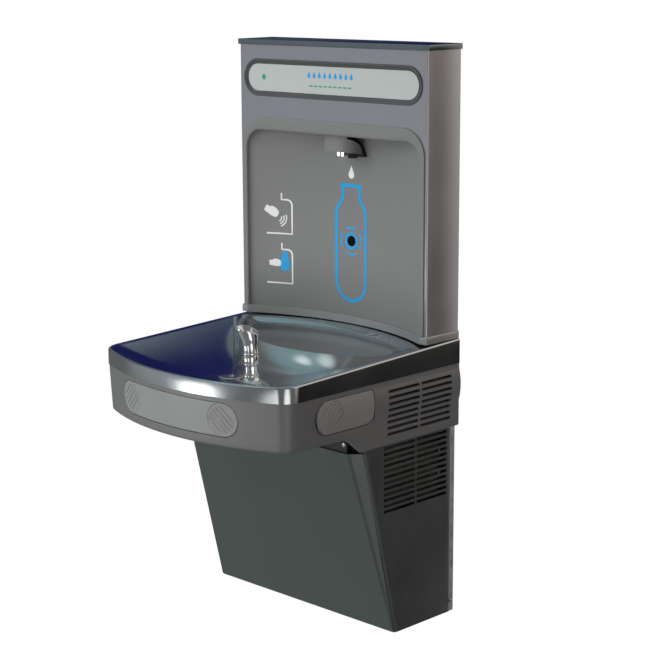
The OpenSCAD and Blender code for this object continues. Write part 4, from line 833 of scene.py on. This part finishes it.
def makeSideBar(side, name, body, node):
    mid = (bars["sideBack"] - bars["side"] / 2, unit["barZ"])
    pad = (bars["sideBack"] - bars["side"] + 32, unit["barZ"])

    def place(y, z, out):
        t = (z - unit["barZ"]) / (unit["barHeight"] / 2)
        lift = ribLift(y - pad[0], z - pad[1], -45) if out == 0 and math.dist((y, z), pad) < 25 else 0
        if out == 0:
            away = math.dist((y, z), pad)
            lift -= 1.2 * ease(1 - abs(away - 27) / 1.2) * ease((y - pad[0]) / 6)
        return (side * (halfW - housing["inset"] + housing["bulge"] * (1 - t * t) + out + lift), y, z)

    def outline(grow):
        pts = sideBar(grow, 24)
        dense = []
        for a, b in zip(pts, pts[1:] + pts[:1]):
            n = 1 if math.dist(a, b) < 4 else 40 if math.dist(a, b) > 60 else 12
            dense += [blend(a, b, k / n) for k in range(n)]
        return dense

    bm = barSolid(bmesh.new(), outline, lambda p: mid, place, 44)
    inX = side * (halfW - housing["inset"] - bars["plate"])
    for step in (-bars["pinStep"], bars["pinStep"]):
        at = (mid[0] + step, unit["barZ"])
        shaft, foot = (4, side * 199.5, inX + side * 2), (8, inX - side * 3, inX + side * 2)
        for r, a, b in (shaft, foot, (7, side * 205.2, side * 207.2)):
            rod(bm, r, "x", min(a, b), max(a, b), at, 32)
    block(bm, sorted((side * 221.5, inX + side)), (mid[0] - 6, mid[0] + 6), (unit["barZ"] - 5, unit["barZ"] + 5), 0.6)
    piece(name, bm, "bar_grey", body, (node,), smooth=50)


def makeSpring(name, node, axis, at, lo, hi, r=6, wire=0.8, turns=6):
    # a coil wound along an axis
    bm = bmesh.new()
    for place in at:
        low, high = min(lo, hi), max(lo, hi)
        start = list(place)
        start.insert("xyz".index(axis), low + wire)
        sideways = Vector((0, 0, 1))
        along = Vector([1 if a == axis else 0 for a in "xyz"])
        centre = Vector(start) + sideways * r
        facing = Matrix.Translation(centre) @ along.cross(sideways).to_track_quat("Z", "Y").to_matrix().to_4x4()
        circle = bmesh.ops.create_circle(bm, segments=10, radius=wire, matrix=facing)["verts"]
        count = 28 * turns
        bmesh.ops.spin(bm, geom=circle + list({e for v in circle for e in v.link_edges}), cent=start, axis=along,
                       angle=2 * math.pi * turns, dvec=along * (high - low - 2 * wire) / count, steps=count)
    bmesh.ops.holes_fill(bm, edges=[e for e in bm.edges if e.is_boundary], sides=0)
    return piece(name, bm, "spring_steel", stands=(node,), smooth=60)


makeHousing(housing)
makeFrontBar()
makeSideBar(1, "pushBarRight", "right_bar", "push_bar_right")
makeSideBar(-1, "pushBarLeft", "left_bar", "push_bar_left")
frontRows = [(s * bars["pinX"], unit["barZ"]) for s in (-1, 1)]
frontSprings = makeSpring("springsFront", "springs_front", "y", frontRows, -460.6, bars["frameY"] - 0.3)
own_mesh(frontSprings)
sideRows = [(bars["sideBack"] - bars["side"] / 2 + s * bars["pinStep"], unit["barZ"]) for s in (-1, 1)]
for side, name, node, joint in ((1, "springsRight", "springs_right", "right_bar_press"),
                                (-1, "springsLeft", "springs_left", "left_bar_press")):
    coil = makeSpring(name, node, "x", sideRows, side * (bars["frameX"] + 0.3), side * 225.2, turns=4)
    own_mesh(coil)
print("housing and bars made")


# ---- cabinet
cabinet = {"half": 225, "depth": 160, "lean": 0.285, "sideLean": 0.232, "top": 354, "panelTop": 342, "sheet": 1.2,
           "crease": 5, "rearR": 16}


def cabinetPlan(z):
    c = cabinet
    front, flat = -c["depth"] - c["lean"] * z, c["half"] - 3 - 0.05 * z
    bend = 5.5 - c["depth"] - c["sideLean"] * z
    half = ring(c["half"] - c["rearR"], -c["rearR"], c["rearR"], 75, 0, 5) + [(c["half"], bend), (flat, front)]
    return half + [(-x, y) for x, y in reversed(half)]


def makeCabinet(c):
    bm = bmesh.new()
    rows = [[bm.verts.new((x, y, z)) for x, y in cabinetPlan(z)] for z in (0, c["top"])]
    edges = [bm.edges.new(pair) for row in rows for pair in zip(row, row[1:])]
    bmesh.ops.bridge_loops(bm, edges=edges)
    creases = [e for e in bm.edges if abs(e.verts[0].co.z - e.verts[1].co.z) > 1 and e.verts[0].co.y < -50]
    bmesh.ops.bevel(bm, geom=creases, offset=c["crease"], segments=5, profile=0.5, affect="EDGES", material=-1)
    bmesh.ops.recalc_face_normals(bm, faces=bm.faces)
    front = min(bm.faces, key=lambda f: f.calc_center_median().y)
    if front.normal.y > 0:
        bmesh.ops.reverse_faces(bm, faces=bm.faces)
    bmesh.ops.solidify(bm, geom=bm.faces, thickness=c["sheet"])
    brow = 5.5 - c["depth"] - c["sideLean"] * c["panelTop"] - 2
    bm = together(bm, block(bmesh.new(), (-halfW, halfW), (-300, brow), (c["panelTop"], c["top"] + 5)))
    bm = together(bm, louvres(12, housing["sideZ"] - 6.7, 10.3))
    piece("cabinetWrap", bm, "cabinet_steel", stands=("cabinet_wrap",), smooth=30)


makeCabinet(cabinet)
fromNode("panel_screws", bevel=0.2)
print("cabinet made")


# ---- bubbler
bubbler = {"at": (147.5, -424.5, 488.1), "shank": -43, "hoodLow": 50, "hoodHigh": 91, "flare": 215, "drop": 10.5,
           "lean": 7.5}


def makeBubbler(b):
    at = Vector(b["at"])
    # a flared foot, a ringed stem and a barrel under the collar
    profile = [(0, b["shank"]), (8.7, b["shank"]), (8.7, -0.5), (17.6, -0.5), (18.4, 0.4), (18.4, 2),
               (17.6, 2.8), (15.6, 3.8), (14, 5.6), (13.2, 8), (12.9, 9.6), (13.7, 10.4), (13.9, 11.6),
               (13.7, 12.8), (12.7, 13.6), (12.4, 16), (12.3, 27), (12.7, 29), (13.6, 30), (13.9, 31.2),
               (13.6, 32.4), (12.9, 33), (13.3, 36), (13.6, 40), (13.4, 44), (12.9, 46.6), (13.4, 47.2),
               (14, 48.2), (14, 49.4), (13.4, 50), (0, 50)]
    body = lathe(bmesh.new(), profile, at, 96)
    # flats cut round the stem
    for k in range(6):
        turn = Matrix.Rotation(math.radians(60 * k + 15), 4, "Z")
        cut = block(bmesh.new(), (11.5, 30), (-9, 9), (15.5, 28))
        bmesh.ops.transform(cut, matrix=Matrix.Translation(at) @ turn, verts=cut.verts)
        body = together(body, cut)
    spout = rod(bmesh.new(), 5, "z", -2, 24, (0, 0), 32, 4.2)
    tilt = Matrix.Rotation(math.radians(-32), 4, "Y")
    bmesh.ops.transform(spout, matrix=Matrix.Translation(at + Vector((0, 0, 48))) @ tilt, verts=spout.verts)
    piece("bubblerBody", together(body, spout, "UNION"), "chrome", stands=("bubbler_body",), bevel=0.4, smooth=30)
    # the hood: a thick-lipped guard that flares towards the bowl, lower at its back
    lines = []
    rise = b["hoodHigh"] - b["hoodLow"] - 1
    for a in steps(0, 360, 96)[:-1]:
        turn = math.radians(a)
        toBowl = 0.5 + 0.5 * math.cos(math.radians(a - b["flare"]))
        tip = rise - b["drop"] * (1 - toBowl) ** 1.6
        outer, inner = [], []
        for t in steps(0, 1, 16):
            z = tip * t
            r = 13.2 - 0.9 * math.sin(math.pi * min(1, t * 1.6)) + 1.2 * t + 11.5 * t ** 1.7 * toBowl ** 2
            for side, thick in ((outer, 0), (inner, 2.2)):
                side.append(((r - thick) * math.cos(turn) - b["lean"] * 0.2 * t, (r - thick) * math.sin(turn) * 0.97,
                             z))
        lip = [(*blend(outer[-1][:2], inner[-1][:2], 0.5 - 0.5 * math.cos(math.radians(d))),
                tip + 1.2 * math.sin(math.radians(d)))
               for d in steps(0, 180, 6)[1:-1]]
        line = [Vector(p) + at + Vector((0, 0, b["hoodLow"] + 0.3)) for p in outer + lip + inner[::-1]]
        lines.append(line + line[:1])
    lines.append(lines[0])
    piece("bubblerHood", skin(bmesh.new(), lines), "chrome", stands=("bubbler_hood",), smooth=40)


makeBubbler(bubbler)
fromNode("drain_strainer", bevel=0.3)
fromNode("strainer_screw", bevel=0.2)
print("bubbler made")


# ---- signs printed on the alcove's back wall, as thin raised shapes
prints = {"proud": 0.35, "sunk": 0.6, "blue": "print_blue", "white": "print_white", "sensor": (0, 659)}


def thicken(bm, surfaceY, proud, sunk):
    # gives flat shapes thickness, from behind a surface to in front of it
    grown = bmesh.ops.extrude_face_region(bm, geom=bm.faces[:], use_keep_orig=True)["geom"]
    near = {g for g in grown if isinstance(g, bmesh.types.BMVert)}
    for v in bm.verts:
        v.co.y = surfaceY(v.co.x) + (-proud if v in near else sunk)
    return bm


def onWall(bm):
    # takes flat shapes drawn at y 0 back to the curved wall, cut finely enough to follow it
    cuts = [((0, 0, z), (0, 0, 1)) for z in range(540, 800, 12)]
    cuts += [((x, 0, 0), (1, 0, 0)) for x in range(-240, 240, 6)]
    for co, no in cuts:
        bmesh.ops.bisect_plane(bm, geom=bm.verts[:] + bm.edges[:] + bm.faces[:], plane_co=co, plane_no=no)
    return thicken(bm, wallY, prints["proud"], prints["sunk"])


def flat(bm, outline):
    return bm.faces.new([bm.verts.new((x, 0, z)) for x, z in outline])


def outlineStrip(bm, outline, width):
    # a closed outline drawn as a band of even width
    face = flat(bm, outline)
    face.normal_update()
    bmesh.ops.inset_region(bm, faces=[face], thickness=width, use_even_offset=True, use_boundary=True)
    bmesh.ops.delete(bm, geom=[face], context="FACES")


def strokeLine(bm, path, width):
    # an open line of even width with square ends
    left, right = [], []
    for i, p in enumerate(path):
        a, b = path[max(0, i - 1)], path[min(len(path) - 1, i + 1)]
        long = math.dist(a, b)
        n = (-(b[1] - a[1]) / long, (b[0] - a[0]) / long)
        left.append((p[0] + n[0] * width / 2, p[1] + n[1] * width / 2))
        right.append((p[0] - n[0] * width / 2, p[1] - n[1] * width / 2))
    flat(bm, left + right[::-1])


def handShape(x, z, s, turn):
    # a plain mitten hand with a cuff
    pts = [(-12, -5), (-12, 5), (-5, 5), (-4, 7.5), (3, 8), (9, 6), (12, 3.5), (12, -3.5), (9, -6.5), (2, -7),
           (-5, -6)]
    c, q = math.cos(math.radians(turn)), math.sin(math.radians(turn))
    return [(x + s * (a * c - b * q), z + s * (a * q + b * c)) for a, b in pts]


def makePrints(p):
    sx, sz = p["sensor"]
    blue, white = bmesh.new(), bmesh.new()
    neck = [(23.6, 739), (23.6, 756), (27, 757), (27, 763), (-27, 763), (-27, 757), (-23.6, 756), (-23.6, 739)]
    bottle = [(39, 586), (39, 712)] + ring(23, 712, 16, 0, 60, 5)[1:] + neck + ring(-23, 712, 16, 120, 180, 5)[:-1]
    bottle += [(-39, 712), (-39, 586)] + ring(0, 584, 39, 180, 360, 24)[1:-1]
    outlineStrip(blue, bottle, 6)
    outlineStrip(blue, ring(sx, sz, 16, 0, 360, 40)[:-1], 5)
    for mid in (0, 90, 180, 270):
        strokeLine(blue, ring(sx, sz, 25, mid - 32, mid + 32, 12), 3)
    flat(blue, [(-157, 590), (-140, 590), (-140, 613), (-143, 618), (-143, 626), (-154, 626), (-154, 618),
                (-157, 613)])
    flat(white, ring(sx, 780, 7, -215, 35, 20) + [(sx, 797)])
    for base in (660, 566):
        path = [(-184, base), (-134, base), (-134, base + 54)] + ring(-144, base + 54, 10, 0, 90, 6)[1:]
        strokeLine(white, path + [(-155, base + 64), (-155, base + 76)], 3.2)
    flat(white, handShape(-174, 702, 1.15, -28))
    flat(white, handShape(-168, 604, 0.95, 0))
    for r in (7, 12, 17):
        strokeLine(white, ring(-162, 690, r, -70, 20, 8), 2.2)
    for name, bm, slotName in (("bluePrint", blue, p["blue"]), ("whitePrint", white, p["white"])):
        piece(name, onWall(bm), slotName)


makePrints(prints)


# ---- what the lit sign shows: plain shapes, no lettering
def makeSignPrint():
    front = -tower["depth"] + 0.8
    blue, green = bmesh.new(), bmesh.new()
    z = sign["z"]
    for k in range(-4, 5):
        flat(blue, [(k * 13 + x, up + z + 8) for x, up in ring(0, -1, 3.6, -215, 35, 14) + [(0, 7)]])
        flat(green, [(k * 12 - 4, z - 12), (k * 12 + 4, z - 12), (k * 12 + 4, z - 9.5), (k * 12 - 4, z - 9.5)])
    flat(green, ring(-168, z + 1, 5, 0, 360, 24)[:-1])
    for name, bm, slotName in (("signBlue", blue, "print_blue"), ("signGreen", green, "print_green")):
        piece(name, thicken(bm, lambda x: front, 0.15, 0.3), slotName)


makeSignPrint()
fromNode("sensor_window", bevel=0.5)
print("prints made")
